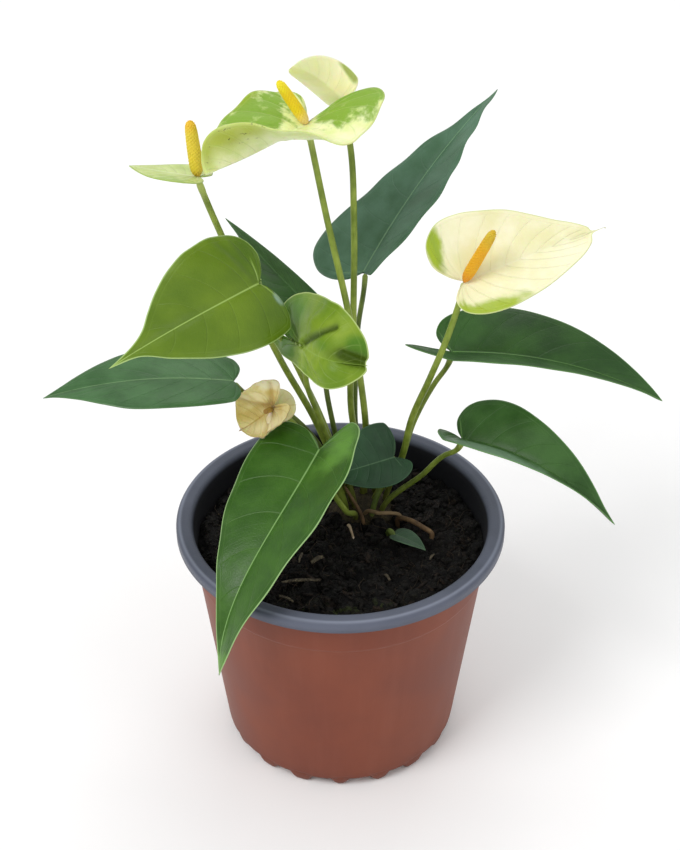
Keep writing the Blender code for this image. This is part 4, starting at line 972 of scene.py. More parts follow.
# Blooms: the spathe as a blade, and its spadix by its tip and radius
blooms = {
    "topBloom": dict(
        node="top_bloom",
        junction=(-0.012, 0.032, 0.256), tip=(-0.047, 0.003, 0.250),
        halves=("topNear", "topFar"), widths=(0.030, 0.022), lobes=(3.6, 1.6),
        roll=0, arch=-0.02, droop=2, folds=(6, 30), cups=(0, -10), closing=(110, -25), lifts=(0.35, 0.3),
        foot=(0.0004, 0.0044),
        route=((0.010, 0.022, 0.132), (0.008, 0.021, 0.152), (0.003, 0.023, 0.183), (-0.005, 0.028, 0.220)),
        spadixTip=(-0.022, 0.028, 0.274), spadixRadius=0.0023, veins=13,
        form=dict(quilt=0.0002, lumps=0.0006, ridge=0.0002, thickness=0.0006, ripple=0.0005, ripples=3.0),
        look=dict(deep="#DDE69C", fresh="#F0F2C6", underDeep="#F0EFC8", underFresh="#FAF8E4",
                  vein="#C8DA84", rib="#E4ECB4", edge="#C0CC78", patch="#84A836", underPatch="#CCD260",
                  ragged=1.0, streak=0.6, specks=0.8, mottle=130.0, veinStrength=0.2, roughness=0.4, glow=0.5,
                  inset=1.6, edgeStrength=0.5, shade="#A2AC10", shadeStrength=0.85),
        patches=((0.30, -0.65, 0.45, 0.55, 1.05), (-0.38, 0.46, 0.27, 0.46, 1.0), (-0.22, 0.22, 0.17, 0.26, 0.7)),
        shades=((0.30, -1.02, 0.40, 0.10, 0.6), (-0.10, -0.95, 0.08, 0.3, 0.8), (0.80, 0.36, 0.17, 0.20, 1.1),
                (0.62, 0.54, 0.12, 0.14, 0.7), (0.95, 0.20, 0.06, 0.2, 0.7)),
        spadixLook=dict(base="#FFDC9C", baseEnd=0.38, middle="#FFE014", tip="#FFF028", tipStart=0.7, shade="#FFCC0C"),
    ),
    "backBloom": dict(
        node="back_bloom",
        junction=(0.001, 0.046, 0.2597), tip=(-0.017, 0.032, 0.2777),
        halves=("backRound", "backRound"), widths=(0.010, 0.011), lobes=(0.4, 0.4),
        roll=60, arch=0.10, droop=2, folds=(12, 12), cups=(55, 55),
        foot=(0.0060, 0.0064),
        route=((0.005, 0.031, 0.127), (0.005, 0.033, 0.174), (0.005, 0.0345, 0.2165), (0.004, 0.040, 0.240)),
        spadixTip=(-0.0036, 0.0511, 0.2653), spadixRadius=0.0013, floretScale=0.75, veins=9,
        form=dict(quilt=0.0002, lumps=0.0002, ridge=0.0002, thickness=0.0006),
        look=dict(deep="#FCFAB8", fresh="#FFFDD0", underDeep="#FEFCB4", underFresh="#FFFFD6",
                  vein="#E4E89C", rib="#EEF0B8", edge="#F6F6DC", patch="#A9B458", veinStrength=0.12,
                  roughness=0.42, glow=0.6, inset=1.2, ribStrength=0.15, shade="#A8B85C"),
        patches=((0.14, 0.92, 0.16, 0.17, 0.8), (0.05, 0.75, 0.10, 0.2, 0.5)),
        shades=((-0.05, -0.5, 0.28, 0.8, 0.5),),
        spadixLook=dict(base="#E8B080", baseEnd=0.35, middle="#F0B428", tip="#F0D840", tipStart=0.7, shade="#D89818"),
    ),
    "leftBloom": dict(
        node="left_bloom",
        junction=(-0.051, 0.020, 0.241), tip=(-0.076, 0.025, 0.243),
        halves=("oval", "oval"), widths=(0.016, 0.016), lobes=(1.6, 1.6),
        roll=20, arch=-0.01, droop=2, folds=(-8, 2), cups=(10, 10), lean=0.1,
        foot=(-0.0078, 0.0046),
        route=((-0.009, 0.024, 0.130), (-0.023, 0.022, 0.162), (-0.043, 0.020, 0.216)),
        spadixTip=(-0.053, 0.022, 0.262), spadixRadius=0.0027, veins=11,
        form=dict(quilt=0.0002, lumps=0.0003, ridge=0.0002, thickness=0.0006),
        look=dict(deep="#B8CA72", fresh="#D4E29A", underDeep="#B6C870", underFresh="#CAD88C",
                  vein="#BCD07C", rib="#E4EEC4", edge="#9FB45C", veinStrength=0.2, roughness=0.42,
                  glow=0.12, inset=1.4, patch="#A4C060", ragged=0.7, streak=0.7),
        patches=((0.3, 0.7, 0.5, 0.4, 0.6), (0.3, 1.0, 0.6, 0.12, 0.9)),
        spadixLook=dict(base="#D8B038", baseEnd=0.2, middle="#F2D63C", tip="#F4C42C", tipStart=0.75, shade="#D8BC30"),
    ),
    "rightBloom": dict(
        node="right_bloom",
        junction=(0.045, 0.008, 0.205), tip=(0.095, 0.012, 0.225),
        halves=("rightFar", "rightNear"), widths=(0.025, 0.016), lobes=(1.25, 1.0),
        roll=50, arch=0.03, droop=2, folds=(8, 8), cups=(5, 5),
        foot=(0.0044, 0.0004),
        route=((0.0240, 0.0180, 0.1170), (0.0278, 0.0150, 0.1395), (0.0340, 0.0090, 0.1625), (0.0395, 0.0065, 0.1815)),
        spadixTip=(0.054, 0.000, 0.230), spadixRadius=0.0023, veins=13,
        form=dict(quilt=0.00015, lumps=0.0006, lumpSize=0.016, ridge=0.0002, thickness=0.0006, curl=0.0006,
                  # Creases: folds in the lobe, the second with painted shade along it
                  creases=((-0.01, 0.10, -0.06, 0.95, 0.0022, 0.0008, 0.0),
                           (-0.10, 0.25, -0.09, 0.9, 0.0012, 0.0005, 0.55))),
        look=dict(deep="#E8E4B2", fresh="#F4F1D0", underDeep="#E8E8B8", underFresh="#F2F1CC",
                  vein="#E0E4AE", rib="#EEF0CC", edge="#D4DCA0", patch="#9FB52A", ragged=0.6, streak=0.3,
                  veinStrength=0.05, roughness=0.4, glow=0.12, inset=1.8, shade="#86A040", ribStrength=0.3),
        patches=((-0.10, 0.74, 0.06, 0.42, 0.7), (-0.13, 0.36, 0.035, 0.35, 0.55), (0.06, -0.92, 0.27, 0.32, 1.25),
                 (-0.06, -0.5, 0.05, 0.4, 0.5)),
        spadixLook=dict(base="#F2981C", baseEnd=0.3, middle="#F4B40C", tip="#DCBE28", tipStart=0.6, shade="#EC9C08"),
    ),
    "witheredBloom": dict(
        node="withered_bloom", slot="withered_spathe",
        junction=(-0.0265, 0.008, 0.1490), tip=(-0.0385, 0.004, 0.1415),
        halves=("blunt", "blunt"), widths=(0.011, 0.0145), lobes=(3.4, 4.1),
        roll=-45, arch=-0.10, droop=2, folds=(18, 18), cups=(30, 30), wave=0.0008, waves=1.3,
        foot=(-0.0066, -0.0060), route=((-0.006, 0.012, 0.120), (-0.016, 0.011, 0.137)),
        spadixTip=(-0.029, 0.002, 0.1515), spadixRadius=0.0012, floretScale=0.75, veins=10,
        form=dict(quilt=0.0001, lumps=0.0013, lumpSize=0.0085, ridge=0.0001, curl=0.0016, curlWidth=0.004,
                  ripple=0.0002, ripples=4.0,
                  # Creases: folds with painted shade along them
                  creases=((0.0, -0.1, 0.55, -0.75, 0.0010, 0.0009, 0.6), (0.05, 0.1, 0.6, 0.75, 0.0010, 0.0009, 0.5),
                           (-0.1, -0.1, -0.5, -0.6, 0.0010, 0.0008, 0.4))),
        look=dict(deep="#DCC67A", fresh="#F6ECBC", underDeep="#E0D290", underFresh="#F2ECC4",
                  vein="#C0A458", rib="#C8AC58", edge="#B89A74", veinStrength=0.12, roughness=0.6,
                  coat=0.0, glow=0.4, inset=1.2, mottle=120.0, relief=0.0002, shade="#B08C3C", edgeWidth=0.4,
                  patch="#F6F0D0", underPatch="#F6F0D0"),
        shades=((0.0, 0.0, 0.30, 0.30, 0.7), (0.9, 0.3, 0.3, 0.5, 0.3)),
        patches=((-0.5, -0.7, 0.30, 0.45, 1.0), (0.35, -0.8, 0.3, 0.3, 0.5)),
        spadixLook=dict(base="#A8843C", baseEnd=0.4, middle="#C09A48", tip="#A8803C", tipStart=0.7, shade="#8A6628"),
    ),
}

for name, bloom in blooms.items():
    finish = [bladeMaterial(name + "Face", bloom["look"]), bladeMaterial(name + "Back", bloom["look"], True)]
    newPiece(name + "Spathe", bladeMesh(name, bloom), finish, bloom.get("slot", "spathe"), bloom["node"] + "_spathe")
    makeSpadix(name + "Spadix", bloom, bloom["node"] + "_spadix")
    course = stalkCourse(bloom, 0.0014)
    knee = 1 - 0.006 / sum((b - a).length for a, b in zip(course, course[1:]))
    makeStalk(name + "Stalk", course, "bloomStalk", "stalk", [bloom["node"] + "_stalk"],
              **{"Radius": 0.0014, "Knee": 0.08, "Knee start": knee, "Foot": 0.4})
bpy.data.objects.remove(floret)

# A pale flap of the withered spathe, behind its right side
witheredFlap = dict(
    junction=(-0.0280, 0.0092, 0.1480), tip=(-0.0172, 0.0095, 0.1500),
    halves=("blunt", "blunt"), widths=(0.0072, 0.0062), lobes=(1.0, 1.0),
    roll=48, arch=0.06, droop=2, folds=(8, 8), cups=(15, 15), veins=7,
    form=dict(quilt=0.0001, lumps=0.0008, lumpSize=0.006, ridge=0.0001, curl=-0.0008, curlWidth=0.003),
    look=dict(deep="#E8DCA8", fresh="#F8F2D4", underDeep="#E8DEB0", underFresh="#F4EED0",
              vein="#D8C88C", rib="#DCCC90", edge="#D0BC90", veinStrength=0.12, roughness=0.6, coat=0.0,
              glow=0.5, inset=1.0, mottle=120.0, edgeWidth=0.35),
)
finish = [bladeMaterial("witheredFlapFace", witheredFlap["look"]), bladeMaterial("witheredFlapBack", witheredFlap["look"], True)]
newPiece("witheredFlap", bladeMesh("witheredFlap", witheredFlap), finish, "withered_spathe")
print("blooms:", len(blooms))

# Old growth on the soil: a brown runner, a dry stalk and a pale bud
oldGrowth = {
    "runnerEnds": ((0.0235, 0.0098), (0.0365, -0.0008)),
    "runnerTop": ((0.0270, 0.0066, 0.0962), (0.0330, 0.0020, 0.0958)),
    "stalkFoot": (0.0003, -0.0112), "stalkTop": (0.0018, 0.0110, 0.1095),
    "bud": ((0.0030, 0.0046, 0.0900), (0.0031, 0.0040, 0.0950), (0.0036, 0.0010, 0.0972), (0.0052, -0.0055, 0.0960)),
    "paleRunner": ((0.0098, 0.0130, 0.0900), (0.0100, 0.0120, 0.0952), (0.0112, 0.0108, 0.0972),
                   (0.0159, 0.0094, 0.0972), (0.0205, 0.0094, 0.0972), (0.0238, 0.0096, 0.0962), (0.0250, 0.0086, 0.0940)),
}
start, end = [Vector((*place, crown["footLevel"])) for place in oldGrowth["runnerEnds"]]
rise = Vector((0, 0, crown["lowStraight"]))
course = smoothRoute([start, start + rise, *[Vector(place) for place in oldGrowth["runnerTop"]], end + rise, end], True)
makeStalk("runner", course, "oldGrowth", "old_growth", ["runner"], **{"Radius": 0.0010, "Knee": 0.1, "Foot": 0.25, "Taper": 0.0})
foot = inCrown(oldGrowth["stalkFoot"], crown["footLevel"])
course = smoothRoute([foot, foot + Vector((0, 0, crown["straight"])), Vector(oldGrowth["stalkTop"])])
makeStalk("oldStalk", course, "oldGrowth", "old_growth", ["old_stalk"], **{"Radius": 0.0009, "Knee": 0.0, "Foot": 0.2, "Taper": 0.35})
course = smoothRoute([Vector(place) for place in oldGrowth["bud"]])
makeStalk("soilBud", course, "whiteBud", "old_growth", [], **{"Radius": 0.0008, "Knee": 0.1, "Foot": 0.2, "Taper": 0.5})
course = smoothRoute([Vector(place) for place in oldGrowth["paleRunner"]])
makeStalk("paleRunner", course, "paleRoot", "old_growth", [], **{"Radius": 0.0009, "Knee": 0.0, "Foot": 0.3, "Taper": 0.2})
print("old growth made")


# Pot: one formed sheet, terracotta outside and grey inside, rolled over at the lip
pot = {
    "height": 0.104, "lipRadius": 0.065, "lipWidth": 0.0062, "lipDrop": 0.0043, "sheet": 0.0012,
    "shoulder": 0.0582, "stepHeight": 0.090, "stepDepth": 0.0006, "base": 0.0476, "heel": 0.0060,
    "ringTop": 0.0846, "ringLow": 0.0837, "ringOut": 0.0005, "footReach": 0.6,
    "heelWidth": 0.0054, "feet": 18, "footHeight": 0.0022, "footInner": 0.036, "steps": 288,
    "drains": 6, "drainRadius": 0.0035, "drainCircle": 0.026,
}


def wallRadius(height):
    share = (height - pot["heel"]) / (pot["stepHeight"] - pot["heel"])
    return pot["base"] + (pot["shoulder"] - pot["stepDepth"] - pot["base"]) * share


def roundCorners(points, radius, steps=4):
    # Each corner of the line becomes a short curve
    out = [points[0]]
    for before, corner, after in zip(points, points[1:], points[2:]):
        reach = min(radius, (corner - before).length * 0.45, (after - corner).length * 0.45)
        start = corner + (before - corner).normalized() * reach
        end = corner + (after - corner).normalized() * reach
        for number in range(steps + 1):
            t = number / steps
            out.append(start * (1 - t) ** 2 + corner * (2 * t * (1 - t)) + end * t**2)
    return [*out, points[-1]]


def potProfile():
    half = pot["sheet"] / 2
    out, inner, top = pot["lipRadius"] - half, pot["lipRadius"] - pot["lipWidth"] + half, pot["height"] - half
    below = pot["height"] - pot["lipDrop"]
    line = [
        (out, below), (out, top), (inner, top), (pot["shoulder"], below),
        (wallRadius(pot["ringTop"]) + pot["ringOut"], pot["ringTop"]), (wallRadius(pot["ringLow"]), pot["ringLow"]),
        (wallRadius(0.06), 0.06), (wallRadius(0.03), 0.03), (wallRadius(pot["heel"]), pot["heel"]),
    ]
    for angle in (22, 45, 68, 90):
        turn = radians(angle)
        line.append((pot["base"] - pot["heelWidth"] * (1 - cos(turn)), pot["heel"] - (pot["heel"] - half) * sin(turn)))
    line += [(pot["footInner"], half), (0.018, half), (0.0, half)]
    line = roundCorners([Vector(place) for place in line], 0.0011)
    outside, inside = [], []
    for index, point in enumerate(line):
        along = (line[min(index + 1, len(line) - 1)] - line[max(index - 1, 0)]).normalized()
        aside = Vector((along.y, -along.x)) * half
        outside.append(point - aside)
        inside.append(point + aside)
    outside[-1].x = inside[-1].x = 0.0
    ring = [(place, 0.0) for place in reversed(outside)] + [(place, 1.0) for place in inside]
    if inside[0].x < outside[0].x:
        ring = [(place, 1.0 - finish) for place, finish in ring]
    return ring


def makePotTree():
    tree, given, result = newGroup(
        "turnedPot", "GeometryNodeTree",
        [
            ("Geometry", "Geometry", None), ("Steps", "Int", 288), ("Rows", "Int", 100), ("Feet", "Float", 18.0),
            ("Foot height", "Float", 0.0022), ("Foot limit", "Float", 0.0048), ("Foot inner", "Float", 0.0372),
            ("Foot reach", "Float", 0.85), ("Base", "Float", 0.0476), ("Heel", "Float", 0.0060),
            ("Drains", "Int", 6), ("Drain radius", "Float", 0.0035), ("Drain circle", "Float", 0.026),
            ("Outside", "Material", None), ("Inside", "Material", None),
        ],
        [("Geometry", "Geometry")],
    )
    around = calc(tree, "ADD", given["Steps"], 1.0)
    grid = addNode(tree, "GeometryNodeMeshGrid", {"Vertices X": around, "Vertices Y": given["Rows"]}).outputs[0]
    index = addNode(tree, "GeometryNodeInputIndex").outputs[0]
    column = calc(tree, "FLOOR", calc(tree, "DIVIDE", calc(tree, "ADD", index, 0.5), given["Rows"]))
    row = calc(tree, "SUBTRACT", index, calc(tree, "MULTIPLY", column, given["Rows"]))
    position = addNode(tree, "GeometryNodeInputPosition").outputs[0]
    sampled = addNode(tree, "GeometryNodeSampleIndex", {"Geometry": given["Geometry"], "Value": position, "Index": row}, data_type="FLOAT_VECTOR", domain="POINT").outputs[0]
    finish = addNode(tree, "GeometryNodeInputNamedAttribute", {"Name": "potFinish"}, data_type="FLOAT").outputs[0]
    lining = addNode(tree, "GeometryNodeSampleIndex", {"Geometry": given["Geometry"], "Value": finish, "Index": row}, data_type="FLOAT", domain="POINT").outputs[0]
    parts = addNode(tree, "ShaderNodeSeparateXYZ", {0: sampled}).outputs
    angle = calc(tree, "MULTIPLY", calc(tree, "DIVIDE", column, given["Steps"]), 2 * pi)
    slow = calc(tree, "MULTIPLY", calc(tree, "COSINE", calc(tree, "MULTIPLY_ADD", angle, 5.0, 1.0)), 0.3)
    wave = calc(tree, "ADD", calc(tree, "COSINE", calc(tree, "MULTIPLY", angle, given["Feet"])), slow)
    wave = step(tree, wave, -0.9, 0.7)
    lowPart = calc(tree, "LESS_THAN", parts[2], given["Foot limit"])
    outPart = step(tree, parts[0], given["Foot inner"], calc(tree, "ADD", given["Foot inner"], 0.001))
    lift = calc(tree, "MULTIPLY", calc(tree, "MULTIPLY", wave, given["Foot height"]), calc(tree, "MULTIPLY", lowPart, outPart))
    # A foot's heel reaches further out than the rounded heel between the feet
    spread = calc(tree, "MULTIPLY", calc(tree, "SUBTRACT", 1.0, wave), given["Foot reach"])
    spread = calc(tree, "MULTIPLY", spread, calc(tree, "LESS_THAN", parts[2], given["Heel"]))
    spread = calc(tree, "MULTIPLY", spread, step(tree, parts[0], calc(tree, "ADD", given["Foot inner"], 0.001), calc(tree, "SUBTRACT", given["Base"], 0.006)))
    reach = calc(tree, "MULTIPLY_ADD", calc(tree, "SUBTRACT", given["Base"], parts[0]), spread, parts[0])
    place = addNode(tree, "ShaderNodeCombineXYZ", {
        0: calc(tree, "MULTIPLY", reach, calc(tree, "COSINE", angle)),
        1: calc(tree, "MULTIPLY", reach, calc(tree, "SINE", angle)),
        2: calc(tree, "ADD", parts[2], lift),
    }).outputs[0]
    # The lining is stored before the move, while the index still counts the grid's rows
    stored = addNode(tree, "GeometryNodeStoreNamedAttribute", {"Geometry": grid, "Name": "potLining", "Value": lining}, data_type="FLOAT", domain="POINT").outputs[0]
    turned = addNode(tree, "GeometryNodeSetPosition", {"Geometry": stored, "Position": place}).outputs[0]
    closed = addNode(tree, "GeometryNodeMergeByDistance", {"Geometry": turned, "Distance": 0.00001}).outputs[0]
    ring = addNode(tree, "GeometryNodeMeshCircle", {"Vertices": given["Drains"], "Radius": given["Drain circle"]}).outputs[0]
    plug = addNode(tree, "GeometryNodeMeshCylinder", {"Vertices": 24, "Radius": given["Drain radius"], "Depth": 0.006}).outputs[0]
    plugs = addNode(tree, "GeometryNodeInstanceOnPoints", {"Points": ring, "Instance": plug}).outputs[0]
    plugs = addNode(tree, "GeometryNodeRealizeInstances", {0: plugs}).outputs[0]
    drained = addNode(tree, "GeometryNodeMeshBoolean", {"Mesh 1": closed, "Mesh 2": plugs}, operation="DIFFERENCE", solver="EXACT").outputs[0]
    real = addNode(tree, "GeometryNodeRealizeInstances", {0: drained}).outputs[0]
    outer = addNode(tree, "GeometryNodeSetMaterial", {"Geometry": real, "Material": given["Outside"]}).outputs[0]
    isLining = calc(tree, "GREATER_THAN", addNode(tree, "GeometryNodeInputNamedAttribute", {"Name": "potLining"}, data_type="FLOAT").outputs[0], 0.6)
    both = addNode(tree, "GeometryNodeSetMaterial", {"Geometry": outer, "Selection": isLining, "Material": given["Inside"]}).outputs[0]
    tree.links.new(both, result["Geometry"])
    return tree


def potOutsideMaterial():
    material, tree, shader, spot = newMaterial("terracottaPlastic", {"Specular IOR Level": 0.2, "Coat Weight": 0.25, "Coat Roughness": 0.45})
    grain = useGroup(tree, grainGroup, {"Vector": spot, "Mottle scale": 26.0, "Grain scale": 1500.0})
    flow = noiseTexture(tree, addNode(tree, "ShaderNodeMapping", {"Vector": spot, "Scale": (110, 110, 7)}).outputs[0], 1.0, 3.0)
    body = blend(tree, grain["Mottle"], colour("#723623"), colour("#7E3F29"))
    body = blend(tree, calc(tree, "MULTIPLY", step(tree, flow, 0.45, 0.75), 0.16), body, colour("#8E5340"))
    height = addNode(tree, "ShaderNodeSeparateXYZ", {0: spot}).outputs[2]
    foot = calc(tree, "MULTIPLY", step(tree, height, 0.012, 0.0), 0.35)
    body = blend(tree, foot, body, colour("#5A2F20"))
    tree.links.new(body, shader.inputs["Base Color"])
    tree.links.new(calc(tree, "MULTIPLY_ADD", grain["Mottle"], 0.1, 0.52), shader.inputs["Roughness"])
    bump(tree, shader, calc(tree, "ADD", calc(tree, "MULTIPLY", grain["Grain"], 0.5), flow), 0.00003)
    return material


def potInsideMaterial():
    material, tree, shader, spot = newMaterial("greyPlastic", {"Specular IOR Level": 0.25})
    grain = useGroup(tree, grainGroup, {"Vector": spot, "Mottle scale": 40.0, "Grain scale": 1500.0})
    specks = useGroup(tree, speckGroup, {"Vector": spot, "Scale": 420.0, "Amount": 0.35})
    places = addNode(tree, "ShaderNodeSeparateXYZ", {0: spot}).outputs
    height = places[2]
    body = blend(tree, grain["Mottle"], colour("#505563"), colour("#5E6372"))
    flat = addNode(tree, "ShaderNodeCombineXYZ", {0: places[0], 1: places[1]}).outputs[0]
    radius = addNode(tree, "ShaderNodeVectorMath", {0: flat}, operation="LENGTH").outputs["Value"]
    # Painted highlight: a lighter ring along the lip's outer top edge, where the rounded lip catches the light
    paintedLipHighlight = step(tree, calc(tree, "ABSOLUTE", calc(tree, "SUBTRACT", radius, 0.0636)), 0.0011, 0.0)
    paintedLipHighlight = calc(tree, "MULTIPLY", calc(tree, "MULTIPLY", paintedLipHighlight, step(tree, height, 0.1015, 0.1035)), 0.55)
    body = blend(tree, paintedLipHighlight, body, colour("#959BAC"))
    # Painted shade: the inner wall below the lip is painted near black, as it lies in shade
    inner = calc(tree, "MULTIPLY", step(tree, height, 0.1034, 0.1012), step(tree, radius, 0.0606, 0.0596))
    body = blend(tree, calc(tree, "MULTIPLY", inner, 0.95), body, colour("#0B0A0D"))
    soiled = calc(tree, "MULTIPLY", calc(tree, "MAXIMUM", specks["Specks"], calc(tree, "MULTIPLY", specks["Film"], 0.5)), 0.8)
    body = blend(tree, soiled, body, colour("#2A2320"))
    tree.links.new(body, shader.inputs["Base Color"])
    dull = calc(tree, "MULTIPLY_ADD", inner, 0.4, 0.42)
    tree.links.new(calc(tree, "MULTIPLY_ADD", grain["Mottle"], 0.12, dull), shader.inputs["Roughness"])
    bump(tree, shader, grain["Grain"], 0.00004)
    return material


ring = potProfile()
profile = bpy.data.meshes.new("potProfile")
profile.from_pydata([(place.x, 0.0, place.y) for place, _ in ring], [], [])
profile.attributes.new("potFinish", "FLOAT", "POINT").data.foreach_set("value", [finish for _, finish in ring])
potMesh = runTree(makePotTree(), profile, {
    "Steps": pot["steps"], "Rows": len(ring), "Feet": float(pot["feet"]), "Foot height": pot["footHeight"],
    "Foot limit": pot["heel"] - pot["sheet"], "Foot inner": pot["footInner"] + pot["sheet"],
    "Foot reach": pot["footReach"], "Base": pot["base"], "Heel": pot["heel"],
    "Drains": pot["drains"], "Drain radius": pot["drainRadius"], "Drain circle": pot["drainCircle"],
    "Outside": potOutsideMaterial(), "Inside": potInsideMaterial(),
})
shell = bmesh.new()
shell.from_mesh(potMesh)
if shell.calc_volume(signed=True) < 0:
    bmesh.ops.reverse_faces(shell, faces=shell.faces)
shell.to_mesh(potMesh)
shell.free()
potMesh.shade_smooth()
potPiece = newPiece("plasticPot", potMesh, None, "pot", "pot")
print("pot:", len(potMesh.polygons), "faces")

# Soil: a lumpy top with loose crumbs, bark chips and fibres on it
soil = {
    "level": 0.092, "lump": 0.0011, "rings": 92, "steps": 300, "edgeDrop": 0.004, "gap": 0.0009,
    "ripples": ((0.9, 470, 150, 0.4), (0.6, 520, -410, 2.0), (0.6, 190, 640, 0.9)),
    "clods": ((0.0022, 0.0100), (0.0014, 0.0042), (0.0005, 0.0016)),
    "crumbDensity": 300000.0, "chipDensity": 30000.0, "fibreDensity": 36000.0, "mossFrom": -0.036,
}


def soilHeight(x, y):
    ripple = sum(size * sin(x * alongX + y * alongY + turn) for size, alongX, alongY, turn in soil["ripples"])
    height = soil["level"] + soil["lump"] * ripple
    for size, width in soil["clods"]:
        height += size * noise.noise(Vector((x, y, 0.3)) / width)
    return height


def soilMesh():
    edge = wallRadius(soil["level"]) - soil["gap"]
    rings, steps = soil["rings"], soil["steps"]
    places, faces = [(0.0, 0.0, soilHeight(0.0, 0.0))], []
    for ringNumber in range(1, rings + 1):
        radius = edge * ringNumber / rings
        for number in range(steps):
            turn = 2 * pi * number / steps
            x, y = radius * cos(turn), radius * sin(turn)
            places.append((x, y, soilHeight(x, y) - 0.0015 * smoothStep(radius, edge - 0.004, edge)))
    lower = ((wallRadius(0.085), 0.085), (wallRadius(0.012), 0.012), (pot["footInner"], pot["sheet"] + 0.0003))
    for radius, height in lower:
        for number in range(steps):
            turn = 2 * pi * number / steps
            places.append(((radius - soil["gap"]) * cos(turn), (radius - soil["gap"]) * sin(turn), height))
    places.append((0.0, 0.0, lower[-1][1]))
    for number in range(steps):
        faces.append((0, 1 + number, 1 + (number + 1) % steps))
    for ringNumber in range(rings + len(lower) - 1):
        first, second = 1 + ringNumber * steps, 1 + (ringNumber + 1) * steps
        for number in range(steps):
            after = (number + 1) % steps
            faces.append((first + number, second + number, second + after, first + after))
    last = 1 + (rings + len(lower) - 1) * steps
    for number in range(steps):
        faces.append((len(places) - 1, last + (number + 1) % steps, last + number))
    mesh = bpy.data.meshes.new("soilFill")
    mesh.from_pydata(places, [], faces)
    mesh.shade_smooth()
    return mesh


def soilMaterial(name, dark, light, roughness, scale, moss=False):
    material, tree, shader, spot = newMaterial(name, {"Specular IOR Level": 0.3})
    grain = useGroup(tree, grainGroup, {"Vector": spot, "Mottle scale": scale, "Grain scale": 2200.0})
    patches = noiseTexture(tree, spot, scale * 0.25, 4.0)
    body = blend(tree, calc(tree, "MULTIPLY", grain["Mottle"], grain["Grain"]), colour(dark), colour(light))
    body = blend(tree, calc(tree, "MULTIPLY", step(tree, patches, 0.55, 0.75), 0.5), body, colour(dark))
    if moss:
        places = addNode(tree, "ShaderNodeSeparateXYZ", {0: spot}).outputs
        growth = calc(tree, "MULTIPLY", step(tree, places[1], soil["mossFrom"], soil["mossFrom"] - 0.012), step(tree, noiseTexture(tree, spot, 160.0, 3.0), 0.5, 0.62))
        body = blend(tree, calc(tree, "MULTIPLY", growth, 0.7), body, colour("#3A4418"))
    tree.links.new(body, shader.inputs["Base Color"])
    tree.links.new(calc(tree, "MULTIPLY_ADD", grain["Grain"], -0.2, roughness), shader.inputs["Roughness"])
    bump(tree, shader, calc(tree, "ADD", grain["Grain"], grain["Mottle"]), 0.0003)
    return material


def makeLitterTree():
    tree, given, result = newGroup(
        "looseLitter", "GeometryNodeTree",
        [
            ("Geometry", "Geometry", None), ("Piece", "Object", None), ("Density", "Float", 100000.0),
            ("Smallest", "Float", 0.5), ("Largest", "Float", 1.5), ("Sink", "Float", 0.0002),
            ("Tilt", "Float", 0.6), ("Lowest", "Float", 0.088), ("Reach", "Float", 0.055), ("Seed", "Int", 1),
            ("Finish", "Material", None),
        ],
        [("Geometry", "Geometry")],
    )
    facing = addNode(tree, "ShaderNodeSeparateXYZ", {0: addNode(tree, "GeometryNodeInputNormal").outputs[0]}).outputs[2]
    places = addNode(tree, "ShaderNodeSeparateXYZ", {0: addNode(tree, "GeometryNodeInputPosition").outputs[0]}).outputs
    topFaces = calc(tree, "MULTIPLY", calc(tree, "GREATER_THAN", facing, 0.05), calc(tree, "GREATER_THAN", places[2], given["Lowest"]))
    radius = calc(tree, "SQRT", calc(tree, "ADD", calc(tree, "MULTIPLY", places[0], places[0]), calc(tree, "MULTIPLY", places[1], places[1])))
    topFaces = calc(tree, "MULTIPLY", topFaces, calc(tree, "LESS_THAN", radius, given["Reach"]))
    spread = addNode(tree, "GeometryNodeDistributePointsOnFaces", {"Mesh": given["Geometry"], "Selection": topFaces, "Density": given["Density"], "Seed": given["Seed"]})
    turn = addNode(tree, "FunctionNodeRandomValue", {"Seed": given["Seed"]}, data_type="FLOAT_VECTOR")
    reach = calc(tree, "MULTIPLY", given["Tilt"], pi)
    tree.links.new(addNode(tree, "ShaderNodeCombineXYZ", {0: calc(tree, "MULTIPLY", reach, -1.0), 1: calc(tree, "MULTIPLY", reach, -1.0), 2: 0.0}).outputs[0], turn.inputs[0])
    tree.links.new(addNode(tree, "ShaderNodeCombineXYZ", {0: reach, 1: reach, 2: 2 * pi}).outputs[0], turn.inputs[1])
    spin = addNode(tree, "FunctionNodeEulerToRotation", {0: turn.outputs[0]}).outputs[0]
    rotation = addNode(tree, "FunctionNodeRotateRotation", {0: spread.outputs["Rotation"], 1: spin}, rotation_space="LOCAL").outputs[0]
    otherSeed = calc(tree, "ADD", given["Seed"], 7.0)
    size = addNode(tree, "FunctionNodeRandomValue", {2: given["Smallest"], 3: given["Largest"], "Seed": otherSeed}, data_type="FLOAT").outputs[1]
    sunk = addNode(tree, "ShaderNodeCombineXYZ", {2: calc(tree, "MULTIPLY", given["Sink"], -1.0)}).outputs[0]
    points = addNode(tree, "GeometryNodeSetPosition", {"Geometry": spread.outputs[0], "Offset": sunk}).outputs[0]
    shape = addNode(tree, "GeometryNodeObjectInfo", {"Object": given["Piece"]}).outputs["Geometry"]
    placed = addNode(tree, "GeometryNodeInstanceOnPoints", {"Points": points, "Instance": shape, "Rotation": rotation, "Scale": size}).outputs[0]
    real = addNode(tree, "GeometryNodeRealizeInstances", {0: placed}).outputs[0]
    finished = addNode(tree, "GeometryNodeSetMaterial", {"Geometry": real, "Material": given["Finish"]}).outputs[0]
    tree.links.new(finished, result["Geometry"])
    return tree


